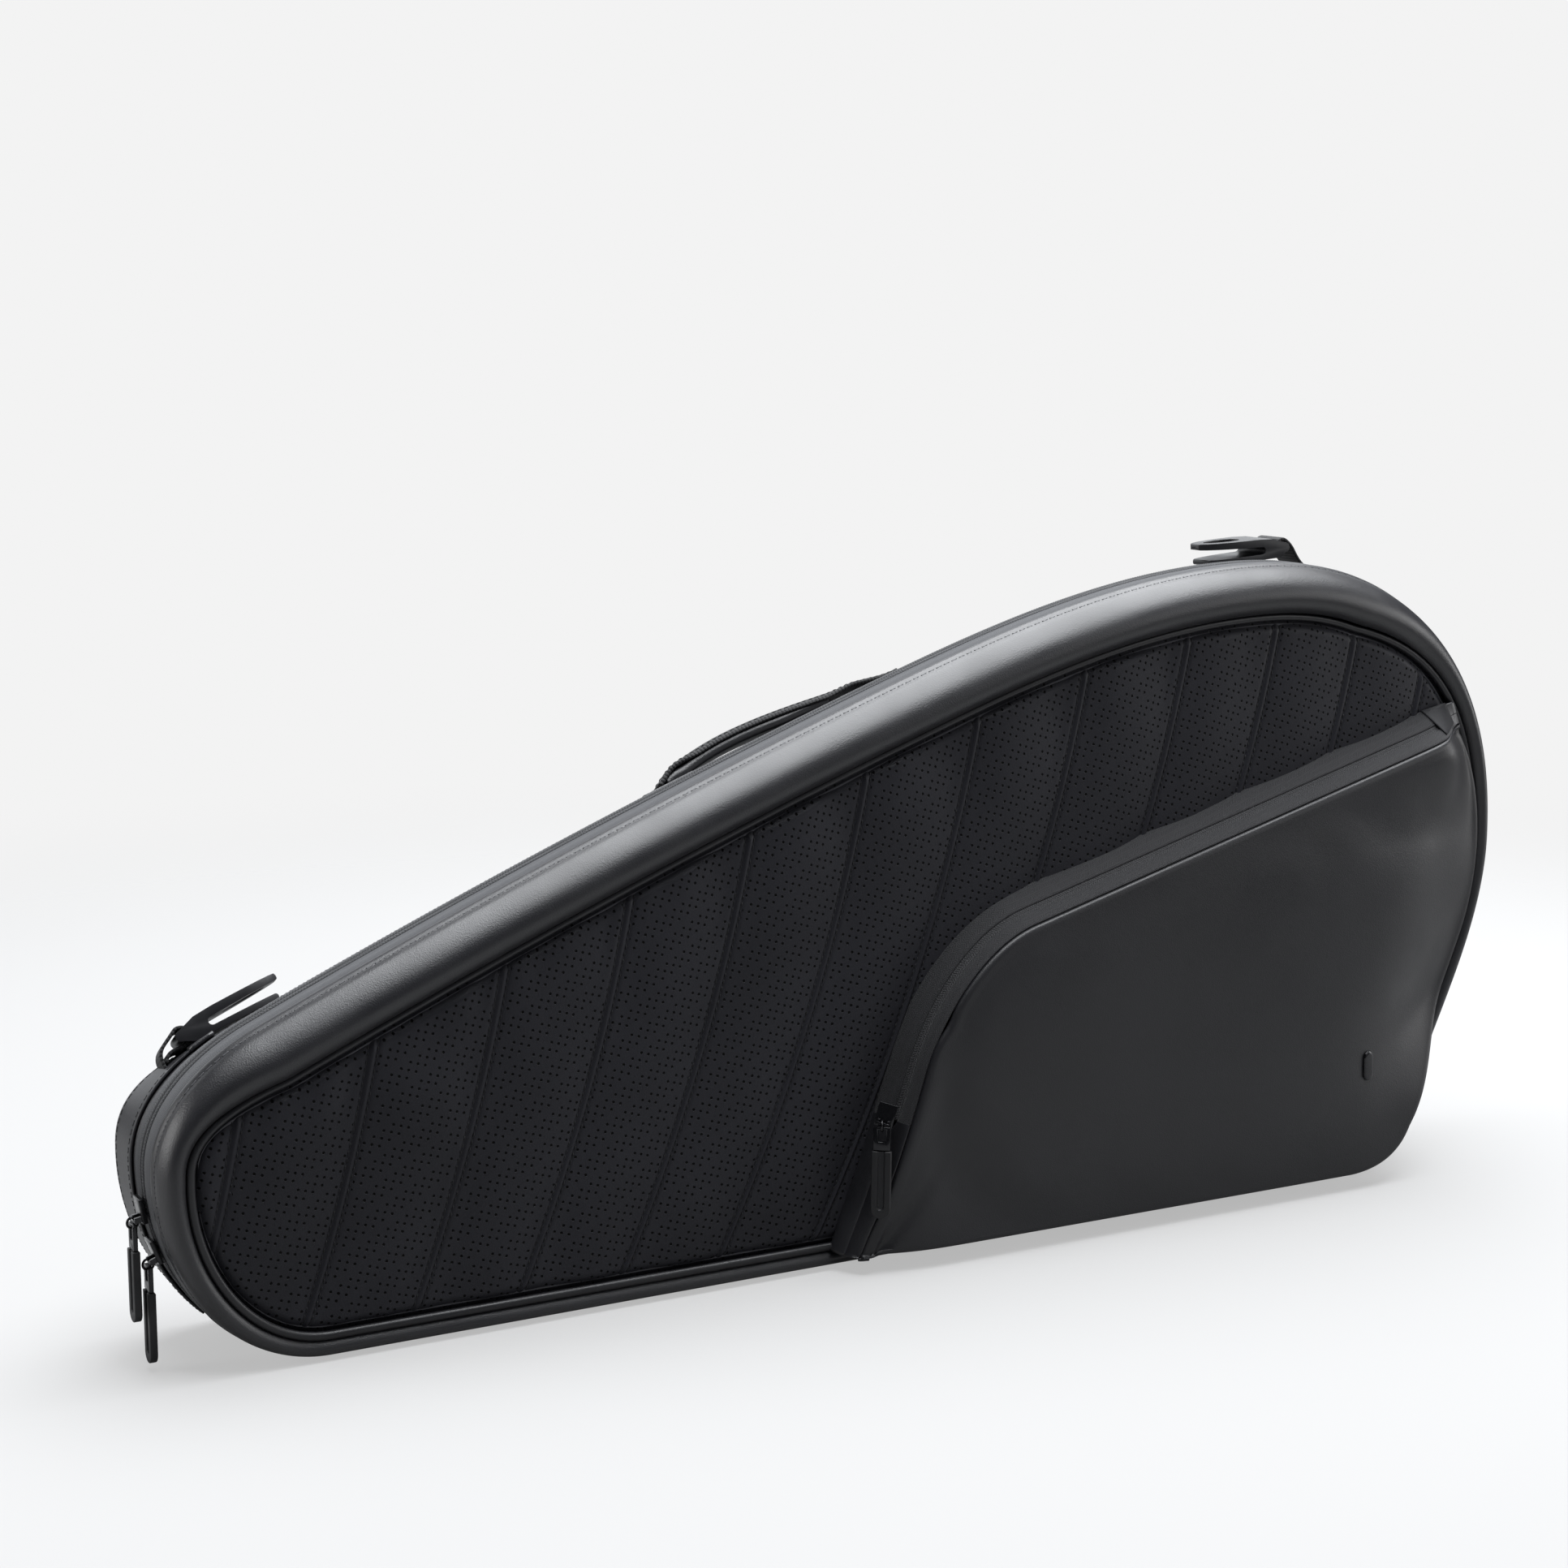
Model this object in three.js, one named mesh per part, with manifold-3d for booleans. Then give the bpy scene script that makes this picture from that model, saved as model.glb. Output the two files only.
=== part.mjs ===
// Racquet bag: a slim clamshell case standing on its long straight edge.
// Frame: millimetres, +X towards the wide (head) end, -Y towards the padded front,
// +Z up. The origin lies on the floor, in the plane of the main zip (y = 0).
import * as THREE from "three";
import { mergeVertices } from "three/addons/utils/BufferGeometryUtils.js";
import Module from "manifold-3d";

const wasm = await Module();
wasm.setup();

// ---------------------------------------------------------------- driving sizes
const FLOOR = 0;
const PANEL_Y = -26; // face of the quilted front panel
const BACK_Y = 52; // rearmost surface
const STITCH_Y = -14; // front band ends and front zip tape begins
const TAPE_BACK_Y = 11; // rear zip tape ends and rear gusset begins
const COIL_HALF = 3.6; // half width of the closed zip coil
const GAP = 0.3; // clearance between neighbouring pieces
const SKIN = 2.2; // leather with its thin foam backing
const TAPE = 1.2; // zip tape thickness
const BAND_SIDE = 13; // width of the front band seen from the front, at the ends
const BAND_TOP = 26; // along the top
const BAND_BOTTOM = 9; // along the bottom
const BAND_PUFF = 4; // how far the padded band swells past the panel plane
const REAR_DROP = 19; // how far the rear gusset falls away along the top
const ZIP_FALL = 3; // how much of that the rear zip tape takes
const REAR_LEAN = 2; // and at the ends; none on the flat base
const PIPING_R = 2.1;
const FOAM = 5;
const LINING = 1;
const LENGTH_CENTRE = 1.85; // brings the middle of the overall length to x = 0
const ZIP_END_LEFT = 24; // height of the zip's lower end at the narrow end
const ZIP_END_RIGHT = 60; // height of the zip's end at the wide end

// ---------------------------------------------------------------- outline, X and Z
// Runs anticlockwise seen from the front, starting at the left of the flat base.
const v2 = (x, z) => new THREE.Vector2(x, z);
const v3 = (x, y, z) => new THREE.Vector3(x, y, z);
const bezier = (a, b, c, d) => new THREE.CubicBezierCurve(v2(...a), v2(...b), v2(...c), v2(...d));
const BASE_LEFT = [-296, FLOOR];
const BASE_RIGHT = [266, FLOOR];
const HEEL = [329, 42];
const WIDE_END = [377, 183];
const CROWN = [224, 336];
const MID_TOP = [-16, 280.4];
const SHOULDER = [-324, 154];
const NARROW_END = [-373, 92];
const OUTLINE = [
  { curve: new THREE.LineCurve(v2(...BASE_LEFT), v2(...BASE_RIGHT)), steps: 6 },
  { curve: bezier(BASE_RIGHT, [296, 0], [318, 17], HEEL), steps: 5 },
  { curve: bezier(HEEL, [349, 88], [377, 135], WIDE_END), steps: 6 },
  { curve: bezier(WIDE_END, [377, 278], [319, 336], CROWN), steps: 11 },
  { curve: bezier(CROWN, [138, 336], [58, 307.5], MID_TOP), steps: 6 },
  { curve: bezier(MID_TOP, [-119, 242.6], [-224, 200], SHOULDER), steps: 7 },
  { curve: bezier(SHOULDER, [-348, 143], [-373, 122], NARROW_END), steps: 6 },
  { curve: bezier(NARROW_END, [-373, 45], [-341, 0], BASE_LEFT), steps: 9 },
];

// A station is a point of a curve with its outward normal.
function stationAt(curve, t) {
  const p = curve.getPoint(t);
  const tangent = curve.getTangent(t);
  return { x: p.x, z: p.y, nx: tangent.y, nz: -tangent.x };
}

// Stations along joined curves; an open run also gets its last point.
function stationsOf(segments, open = false) {
  const stations = [];
  for (const { curve, steps } of segments) {
    for (let i = 0; i < steps; i += 1) {
      stations.push(stationAt(curve, i / steps));
    }
  }
  if (open) {
    stations.push(stationAt(segments.at(-1).curve, 1));
  }
  return stations;
}

const STATIONS = stationsOf(OUTLINE);

// How much a station faces up, 0 at the ends and 1 along the top.
const upness = (s) => Math.min(1, 1.2 * Math.max(0, s.nz) ** 3);
// The outline's edge inset: none on the flat base, a little elsewhere.
const edge = (s) => 0.8 * (1 + Math.min(0, s.nz));
const bandWidth = (s) => {
  const side = BAND_SIDE + (BAND_TOP - BAND_SIDE) * upness(s);
  return side + (BAND_BOTTOM - BAND_SIDE) * Math.max(0, -s.nz);
};
const rearInset = (s) => edge(s) + REAR_LEAN * (1 + Math.min(0, s.nz)) + REAR_DROP * upness(s);
const gussetStart = (s) => edge(s) + ZIP_FALL * upness(s);

// ---------------------------------------------------------------- mesh helpers
function solid(positions, index) {
  const geometry = new THREE.BufferGeometry();
  geometry.setAttribute("position", new THREE.Float32BufferAttribute(positions, 3));
  geometry.setIndex(signedVolume(positions, index) < 0 ? index.toReversed() : index);
  geometry.computeVertexNormals();
  return geometry;
}

function signedVolume(positions, index) {
  const corner = (k) => new THREE.Vector3().fromArray(positions, 3 * index[k]);
  let volume = 0;
  for (let k = 0; k < index.length; k += 3) {
    volume += corner(k).dot(corner(k + 1).cross(corner(k + 2)));
  }
  return volume;
}

// Joins equal rings of points into a closed body: a loop of rings, or a run with flat caps.
function joinRings(rings, closed) {
  const size = rings[0].length;
  const positions = rings.flat().flatMap((p) => p.toArray());
  const index = [];
  const spans = closed ? rings.length : rings.length - 1;
  for (let i = 0; i < spans; i += 1) {
    const next = (i + 1) % rings.length;
    for (let j = 0; j < size; j += 1) {
      const k = (j + 1) % size;
      const [a, b, c, d] = [i * size + j, next * size + j, next * size + k, i * size + k];
      index.push(a, b, c, a, c, d);
    }
  }
  if (!closed) {
    index.push(...cap(rings[0], 0, true));
    index.push(...cap(rings.at(-1), (rings.length - 1) * size, false));
  }
  return solid(positions, index);
}

// Flat cap of a ring, with the same handedness as the walls built by joinRings.
function cap(ring, offset, first) {
  const origin = ring[0];
  const along = ring[1].clone().sub(origin).normalize();
  const normal = new THREE.Vector3();
  for (let j = 0; j < ring.length; j += 1) {
    normal.add(ring[j].clone().cross(ring[(j + 1) % ring.length]));
  }
  const across = normal.normalize().clone().cross(along);
  const flat = ring.map((p) => {
    const q = p.clone().sub(origin);
    return new THREE.Vector2(q.dot(along), q.dot(across));
  });
  const faces = THREE.ShapeUtils.triangulateShape(flat, []);
  return faces.flatMap(([a, b, c]) => {
    const turned = area(flat[a], flat[b], flat[c]) < 0 ? [a, c, b] : [a, b, c];
    return (first ? turned : turned.toReversed()).map((k) => offset + k);
  });
}

const area = (a, b, c) => (b.x - a.x) * (c.y - a.y) - (b.y - a.y) * (c.x - a.x);

// A section is a list of [inset, y] pairs, measured inwards from each station.
function loft(stations, section, closed = true) {
  const place = (s) => ([inset, y]) => new THREE.Vector3(s.x - s.nx * inset, y, s.z - s.nz * inset);
  return joinRings(stations.map((s) => section(s).map(place(s))), closed);
}

// A flat plate inside the outline, between two depths.
function plate(insetOf, frontY, backY) {
  const shape = new THREE.Shape(
    STATIONS.map((s) => v2(s.x - s.nx * insetOf(s), s.z - s.nz * insetOf(s))),
  );
  const geometry = new THREE.ExtrudeGeometry(shape, { depth: backY - frontY, bevelEnabled: false });
  return geometry.rotateX(Math.PI / 2).translate(0, backY, 0);
}

// A slab over a grid of points given by surface(u, v), thickened along +Y.
function gridSlab(columns, rows, surface, thickness) {
  const rings = [];
  for (let i = 0; i <= columns; i += 1) {
    const line = [];
    for (let j = 0; j <= rows; j += 1) {
      line.push(surface(i / columns, j / rows));
    }
    const backwards = line.toReversed().map((p) => p.clone().setY(p.y + thickness));
    rings.push([...line, ...backwards]);
  }
  return joinRings(rings, false);
}

function box(width, depth, height) {
  return new THREE.BoxGeometry(width, depth, height);
}

// An outline in X and Z, extruded along Y and centred on y = 0.
function extrudeY(shape, depth) {
  const geometry = new THREE.ExtrudeGeometry(shape, {
    depth,
    bevelEnabled: false,
    curveSegments: 6,
  });
  return geometry.rotateX(Math.PI / 2).translate(0, depth / 2, 0);
}

// Boolean join, cut and common part of closed geometries.
function toManifold(geometry) {
  const bare = geometry.clone();
  bare.deleteAttribute("normal");
  bare.deleteAttribute("uv");
  const merged = mergeVertices(bare, 1e-4);
  const vertProperties = new Float32Array(merged.attributes.position.array);
  const triVerts = new Uint32Array(merged.index.array);
  return new wasm.Manifold(new wasm.Mesh({ numProp: 3, vertProperties, triVerts }));
}

function fromManifold(body) {
  const mesh = body.getMesh();
  const geometry = new THREE.BufferGeometry();
  geometry.setAttribute("position", new THREE.BufferAttribute(mesh.vertProperties, 3));
  geometry.setIndex(new THREE.BufferAttribute(mesh.triVerts, 1));
  geometry.computeVertexNormals();
  return geometry;
}

const combine = (method) => (first, ...others) => {
  const step = (body, other) => body[method](toManifold(other));
  return fromManifold(others.reduce(step, toManifold(first)));
};
const join = combine("add");
const cut = combine("subtract");
const common = combine("intersect");

// ---------------------------------------------------------------- materials
const finish = (color, roughness, metalness = 0) => ({ color, roughness, metalness });
const LEATHER = finish(0x2a2b30, 0.45);
const PERFORATED = finish(0x232429, 0.6);
const WEBBING = finish(0x16171a, 0.85);
const ZIP_TAPE = finish(0x33353a, 0.8);
const ZIP_COIL = finish(0x1b1c1f, 0.5);
const LINING_CLOTH = finish(0x3a3c42, 0.9);
const FOAM_CORE = finish(0x55585f, 0.95);
const BLACK_METAL = finish(0x1a1a1c, 0.35, 0.8);
const RUBBER = finish(0x1d1e20, 0.7);
const HOOK_PLASTIC = finish(0x1f2022, 0.5);

const bag = new THREE.Group();
bag.position.x = LENGTH_CENTRE;

function add(name, geometry, look, parent = bag) {
  const mesh = new THREE.Mesh(geometry, new THREE.MeshStandardMaterial(look));
  mesh.name = name;
  parent.add(mesh);
  return mesh;
}

// ---------------------------------------------------------------- front half
// Quarter-round padded section, from the panel's edge to the zip tape.
const BAND_ARC = [0, 18, 36, 54, 72, 90].map(THREE.MathUtils.degToRad);

function bandSection(s) {
  const width = bandWidth(s);
  const lip = edge(s) + 0.2;
  const outer = BAND_ARC.map((angle) => [
    lip + (width - lip) * (1 - Math.sin(angle)),
    STITCH_Y + (PANEL_Y - STITCH_Y) * Math.cos(angle) - BAND_PUFF * Math.sin(2 * angle),
  ]);
  const inner = BAND_ARC.toReversed().map((angle) => [
    lip + SKIN + (width - lip - SKIN) * (1 - Math.sin(angle)),
    STITCH_Y + (PANEL_Y + SKIN - STITCH_Y) * Math.cos(angle) - BAND_PUFF * Math.sin(2 * angle),
  ]);
  return [...outer, ...inner];
}

function roundSection(insetOf, y, radius, sides = 6) {
  return (s) => {
    const ring = [];
    for (let k = 0; k < sides; k += 1) {
      const angle = (2 * Math.PI * k) / sides;
      ring.push([insetOf(s) + radius * Math.cos(angle), y + radius * Math.sin(angle)]);
    }
    return ring;
  };
}

// A flat strip that follows the outline, between two depths.
const strip = (insetOf, thickness, frontY, backY) => (s) => [
  [insetOf(s), frontY],
  [insetOf(s), backY],
  [insetOf(s) + thickness, backY],
  [insetOf(s) + thickness, frontY],
];

// The zip runs over the top between its two ends; the base strips fill the rest.
const nearest = (list, x, z) => {
  const distance = (s) => Math.hypot(s.x - x, s.z - z);
  return list.reduce((best, s, i) => (distance(s) < distance(list[best]) ? i : best), 0);
};
const atHeight = (sideX, height) => nearest(STATIONS, sideX, height);
const ZIP_FROM = atHeight(HEEL[0], ZIP_END_RIGHT);
const ZIP_TO = atHeight(BASE_LEFT[0] - 50, ZIP_END_LEFT);
const ZIP_RUN = STATIONS.slice(ZIP_FROM, ZIP_TO + 1);
const BASE_RUN = [...STATIONS.slice(ZIP_TO + 1), ...STATIONS.slice(0, ZIP_FROM)];

const panelInset = (s) => bandWidth(s) + 2 * PIPING_R + 2 * GAP;
add("front_band", loft(STATIONS, bandSection), LEATHER);
add(
  "front_piping",
  loft(STATIONS, roundSection((s) => bandWidth(s) + PIPING_R + GAP, PANEL_Y + 0.6, PIPING_R)),
  LEATHER,
);
add("front_panel", plate(panelInset, PANEL_Y, PANEL_Y + SKIN), PERFORATED);
const frontFoamY = PANEL_Y + SKIN + GAP;
const coreInset = (s) => panelInset(s) + 1;
add("front_foam", plate(coreInset, frontFoamY, frontFoamY + FOAM), FOAM_CORE);
const frontLiningY = frontFoamY + FOAM + GAP;
add("front_lining", plate(coreInset, frontLiningY, frontLiningY + LINING), LINING_CLOTH);

const tapeInset = (s) => edge(s) + 0.4;
add(
  "front_zip_tape",
  loft(ZIP_RUN, strip(tapeInset, TAPE, STITCH_Y + GAP, -COIL_HALF - GAP), false),
  ZIP_TAPE,
);
add("front_zip_coil", loft(ZIP_RUN, strip(edge, 2.4, -COIL_HALF, -GAP / 2), false), ZIP_COIL);
add(
  "front_base_strip",
  loft(BASE_RUN, strip(edge, SKIN, STITCH_Y + GAP, -GAP), false),
  LEATHER,
);

// ---------------------------------------------------------------- rear half
// The rear tape leans down to where the shell starts to fall away.
function leaningTape(s) {
  const high = tapeInset(s);
  const low = gussetStart(s) + 0.4;
  return [
    [high, COIL_HALF + GAP],
    [low, TAPE_BACK_Y - GAP],
    [low + TAPE, TAPE_BACK_Y - GAP],
    [high + TAPE, COIL_HALF + GAP],
  ];
}
add("rear_zip_tape", loft(ZIP_RUN, leaningTape, false), ZIP_TAPE);
add("rear_zip_coil", loft(ZIP_RUN, strip(edge, 2.4, GAP / 2, COIL_HALF), false), ZIP_COIL);
add(
  "rear_base_strip",
  loft(BASE_RUN, strip(edge, SKIN, GAP, TAPE_BACK_Y - GAP), false),
  LEATHER,
);

const GUSSET_BACK_Y = BACK_Y - 8;
const GUSSET_WAIST_Y = (TAPE_BACK_Y + GUSSET_BACK_Y) / 2;
const REAR_ROUND = 5;

// Inset of the gusset's outer surface at a depth: it falls away faster behind its waist.
function gussetInset(s, y) {
  const fall = rearInset(s) - gussetStart(s);
  const half = GUSSET_WAIST_Y - TAPE_BACK_Y;
  const before = Math.min(1, (y - TAPE_BACK_Y) / half);
  const after = Math.max(0, (y - GUSSET_WAIST_Y) / half);
  return gussetStart(s) + fall * (0.45 * before + 0.55 * after);
}

function gussetSection(s) {
  const high = gussetStart(s);
  const low = rearInset(s);
  const mid = gussetInset(s, GUSSET_WAIST_Y);
  return [
    [high, TAPE_BACK_Y],
    [mid, GUSSET_WAIST_Y],
    [low, GUSSET_BACK_Y],
    [low + REAR_ROUND * 0.3, GUSSET_BACK_Y + REAR_ROUND * 0.7],
    [low + REAR_ROUND, GUSSET_BACK_Y + REAR_ROUND],
    [low + REAR_ROUND, GUSSET_BACK_Y + REAR_ROUND - SKIN],
    [low + REAR_ROUND * 0.3 + SKIN, GUSSET_BACK_Y + REAR_ROUND * 0.7 - SKIN],
    [low + SKIN, GUSSET_BACK_Y - SKIN],
    [mid + SKIN, GUSSET_WAIST_Y],
    [high + SKIN, TAPE_BACK_Y],
  ];
}
add("rear_gusset", loft(STATIONS, gussetSection), LEATHER);
const rearPipingInset = (s) => rearInset(s) + REAR_ROUND + PIPING_R + GAP;
add(
  "rear_piping",
  loft(STATIONS, roundSection(rearPipingInset, BACK_Y - PIPING_R * 0.87 - 1.2, PIPING_R)),
  LEATHER,
);
const rearPanelInset = (s) => rearPipingInset(s) + PIPING_R + GAP;
add("rear_panel", plate(rearPanelInset, BACK_Y - SKIN, BACK_Y), LEATHER);
const rearFoamY = BACK_Y - SKIN - GAP - FOAM;
const rearCoreInset = (s) => rearPanelInset(s) + 1;
add("rear_foam", plate(rearCoreInset, rearFoamY, rearFoamY + FOAM), FOAM_CORE);
const rearLiningY = rearFoamY - GAP - LINING;
add("rear_lining", plate(rearCoreInset, rearLiningY, rearLiningY + LINING), LINING_CLOTH);

// A patch that lies on the rear gusset, between two depths.
const PATCH_GAP = 0.9; // clears the gusset's slightly warped facets
function shellPatch(stations, frontY, backY, thickness) {
  const depths = [frontY, GUSSET_WAIST_Y, backY];
  const section = (s) => {
    const outer = depths.map((y) => [gussetInset(s, y) - PATCH_GAP - thickness, y]);
    const inner = depths.toReversed().map((y) => [gussetInset(s, y) - PATCH_GAP, y]);
    return [...outer, ...inner];
  };
  return loft(stations, section, false);
}

// The covered narrow end of the rear half, with its bound upper edge.
const SHOULDER_SEGMENT = 6; // the outline's curve between shoulder and narrow end
const COVER_STEP = 3; // the station of that curve where the cover starts
const COVER_DEPTHS = [12, 42];
const shoulder = OUTLINE[SHOULDER_SEGMENT];
const beforeShoulder = OUTLINE.slice(0, SHOULDER_SEGMENT).reduce((sum, { steps }) => sum + steps, 0);
const coverFrom = beforeShoulder + COVER_STEP;
const coverTo = nearest(STATIONS, BASE_LEFT[0] - 40, ZIP_END_LEFT);
add(
  "narrow_end_cover",
  shellPatch(STATIONS.slice(coverFrom, coverTo + 1), ...COVER_DEPTHS, 1.2),
  LEATHER,
);
const bindingRun = [0.08, 0.045, 0.01].map((back) => {
  return stationAt(shoulder.curve, COVER_STEP / shoulder.steps - back);
});
add("end_cover_binding", shellPatch(bindingRun, ...COVER_DEPTHS, 1.9), LEATHER);

// Leather tab sewn behind the zip's end at the wide end.
const tabAt = STATIONS[ZIP_FROM];
const endTab = add("zip_end_tab", box(13, 18, 2.4), LEATHER);
endTab.position.set(tabAt.x + 6.9 * tabAt.nx, 20, tabAt.z + 6.9 * tabAt.nz);
endTab.rotation.y = Math.atan2(-tabAt.nz, tabAt.nx);

// ---------------------------------------------------------------- front pocket
// Upper edge of the pocket, from the wide end over the corner and down to the base.
const POCKET_EDGE = [
  { curve: new THREE.LineCurve(v2(343, 254), v2(62, 175)), steps: 12 },
  { curve: bezier([62, 175], [30, 166], [6, 132], [-4, 103]), steps: 7 },
  { curve: bezier([-4, 103], [-13, 75], [-30, 28], [-39, 9]), steps: 6 },
];
const POCKET_STATIONS = stationsOf(POCKET_EDGE, true);
// The wide-end and lower edges, from the pocket's upper right corner round to the base.
const POCKET_SIDE = [
  { curve: bezier([345, 243], [367, 212], [369, 165], [354, 128]), steps: 8 },
  { curve: bezier([354, 128], [342, 98], [326, 62], [306, 30]), steps: 4 },
  { curve: bezier([306, 30], [299, 15], [285, 8], [262, 8]), steps: 4 },
  { curve: new THREE.LineCurve(v2(262, 8), v2(-39, 9)), steps: 6 },
];
const POCKET_SIDE_POINTS = stationsOf(POCKET_SIDE, true);
const POCKET_ROOT_Y = PANEL_Y - 2.4;
const POCKET_ZIP_Y = -38;
const POCKET_FACE_Y = -50;
const POCKET_FOLD_Y = POCKET_FACE_Y + 2.4;
const POCKET_TILT_SIDE = 5; // how far the fold stands in from the root, at the side
const POCKET_TILT_TOP = 10; // and along the top
const POCKET_WALL = 1.6;
const POCKET_ZIP_LOW = 76; // height of the pocket zip's lower end
const pocketTilt = (s) => POCKET_TILT_SIDE + (POCKET_TILT_TOP - POCKET_TILT_SIDE) * Math.max(0, s.nz);

// Height of a polyline of stations at a given x, linear between its points.
function heightAt(points, x) {
  for (let i = 0; i + 1 < points.length; i += 1) {
    const [a, b] = [points[i], points[i + 1]];
    if ((a.x - x) * (b.x - x) <= 0 && a.x !== b.x) {
      return a.z + ((b.z - a.z) * (x - a.x)) / (b.x - a.x);
    }
  }
  return points.at(-1).z;
}

const FACE_WALL = 1.8;

// The face lies flat over the pocket and sinks back to the panel at the wide end.
function faceY(x, z) {
  const reach = heightAt(POCKET_SIDE_POINTS.map((s) => ({ x: s.z, z: s.x })), z) - x;
  const height = THREE.MathUtils.smoothstep(z, 35, 105);
  const width = THREE.MathUtils.lerp(48, 16, THREE.MathUtils.smoothstep(z, 185, 235));
  const fade = Math.exp(-((Math.max(0, reach) / width) ** 2));
  const slack = Math.exp(-(((x + 36) / 26) ** 2) - ((z - 9) / 34) ** 2);
  return POCKET_FACE_Y + (POCKET_ROOT_Y - 1.4 - POCKET_FACE_Y) * (height * fade + 0.4 * slack);
}

// Wall of the pocket between two depths, leaning in from root to fold.
function pocketWall(frontY, backY) {
  return (s) => {
    const tilt = pocketTilt(s);
    const lean = (y) => (tilt * (POCKET_ROOT_Y - y)) / (POCKET_ROOT_Y - POCKET_FOLD_Y);
    const face = faceY(s.x - s.nx * tilt, s.z - s.nz * tilt) + FACE_WALL + 3 * GAP;
    const front = Math.min(backY - 0.8, Math.max(frontY, face));
    return [
      [lean(backY), backY],
      [lean(front), front],
      [lean(front) + POCKET_WALL, front],
      [lean(backY) + POCKET_WALL, backY],
    ];
  };
}
const pocketEndAt = nearest(POCKET_STATIONS, -14, POCKET_ZIP_LOW);
const POCKET_ZIP_RUN = POCKET_STATIONS.slice(1, pocketEndAt + 1);
const POCKET_LOW_RUN = POCKET_STATIONS.slice(pocketEndAt);

add(
  "pocket_gusset",
  loft(POCKET_STATIONS, pocketWall(POCKET_ZIP_Y + 2.4, POCKET_ROOT_Y), false),
  LEATHER,
);
add(
  "pocket_zip_coil",
  loft(POCKET_ZIP_RUN, pocketWall(POCKET_ZIP_Y - 1.6, POCKET_ZIP_Y + 2.1), false),
  ZIP_COIL,
);
add(
  "pocket_end_wall",
  loft(POCKET_STATIONS.slice(0, 2), pocketWall(POCKET_FOLD_Y + 1, POCKET_ZIP_Y + 2.1), false),
  LEATHER,
);
add(
  "pocket_side_wall",
  loft(POCKET_LOW_RUN, pocketWall(POCKET_FOLD_Y + 1, POCKET_ZIP_Y + 2.1), false),
  LEATHER,
);

const POCKET_FOLD = POCKET_STATIONS.map((s) => {
  return { x: s.x - s.nx * pocketTilt(s), z: s.z - s.nz * pocketTilt(s) };
});
const POCKET_TOP = [...POCKET_FOLD.toReversed(), ...POCKET_SIDE_POINTS.slice(0, 4)];
const POCKET_BOTTOM = POCKET_SIDE_POINTS.slice(4).toReversed();
const CHORD_LEFT = POCKET_FOLD[pocketEndAt];
const CHORD_RIGHT = POCKET_FOLD[1];
const chordHeight = (x) => {
  const slope = (CHORD_RIGHT.z - CHORD_LEFT.z) / (CHORD_RIGHT.x - CHORD_LEFT.x);
  return CHORD_LEFT.z + slope * (x - CHORD_LEFT.x);
};

const FACE_LEFT = -31;
const FACE_RIGHT = 360;
const spread = (u) => (1 - Math.cos(Math.PI * u)) / 2;

function facePoint(x, low, high, v) {
  const z = low + (high - low) * v;
  return new THREE.Vector3(x, faceY(x, z), z);
}

function lowerFace(u, v) {
  const x = FACE_LEFT + (FACE_RIGHT - FACE_LEFT) * spread(u);
  const inFlap = x > CHORD_LEFT.x && x < CHORD_RIGHT.x;
  const high = inFlap ? chordHeight(x) - GAP : heightAt(POCKET_TOP, x);
  return facePoint(x, heightAt(POCKET_BOTTOM, x), high, v);
}
add("pocket_face", gridSlab(22, 6, lowerFace, FACE_WALL), LEATHER);

function flapFace(u, v) {
  const left = CHORD_LEFT.x + 5;
  const x = left + (CHORD_RIGHT.x - 14 - left) * spread(u);
  return facePoint(x, chordHeight(x) + GAP, heightAt(POCKET_TOP, x), v);
}
add("pocket_flap", gridSlab(16, 3, flapFace, FACE_WALL), LEATHER);
add(
  "pocket_flap_rim",
  loft(POCKET_ZIP_RUN, pocketWall(POCKET_FOLD_Y + 1, POCKET_ZIP_Y - 2), false),
  LEATHER,
);

const POCKET_BASE_RUN = POCKET_SIDE_POINTS.filter((s) => s.z < 45 && s.x > -20);
const baseSection = (s) => {
  const frontY = faceY(s.x, s.z) + FACE_WALL + GAP;
  return [
    [-GAP, frontY],
    [-GAP, POCKET_ROOT_Y - 1],
    [-GAP - POCKET_WALL, POCKET_ROOT_Y - 1],
    [-GAP - POCKET_WALL, frontY],
  ];
};
add("pocket_base", loft(POCKET_BASE_RUN, baseSection, false), LEATHER);

// Plain pill-shaped badge near the pocket's lower corner.
const badgeShape = new THREE.Shape();
badgeShape.absarc(0, 6, 2.2, 0, Math.PI, false);
badgeShape.absarc(0, -6, 2.2, Math.PI, 2 * Math.PI, false);
const badge = add("badge", extrudeY(badgeShape, 1), BLACK_METAL);
badge.position.set(275, POCKET_FACE_Y - 0.9, 68);
badge.rotation.y = 0.25;

// ---------------------------------------------------------------- zip sliders and pullers
const ARC_CENTRE = new THREE.Vector3(-272.6, 0, 90.7);
const ARC_R = 100.3; // the outline's radius about that centre, near the narrow end
const SLIDER_BASE = 2.2;
const LOOP_RISE = 2.6; // from the slider's plate to the axis of its loop's bar
const BAR_R = 0.6;
const RING_R = 2.6;
const RING_WIRE = 0.6;

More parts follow.
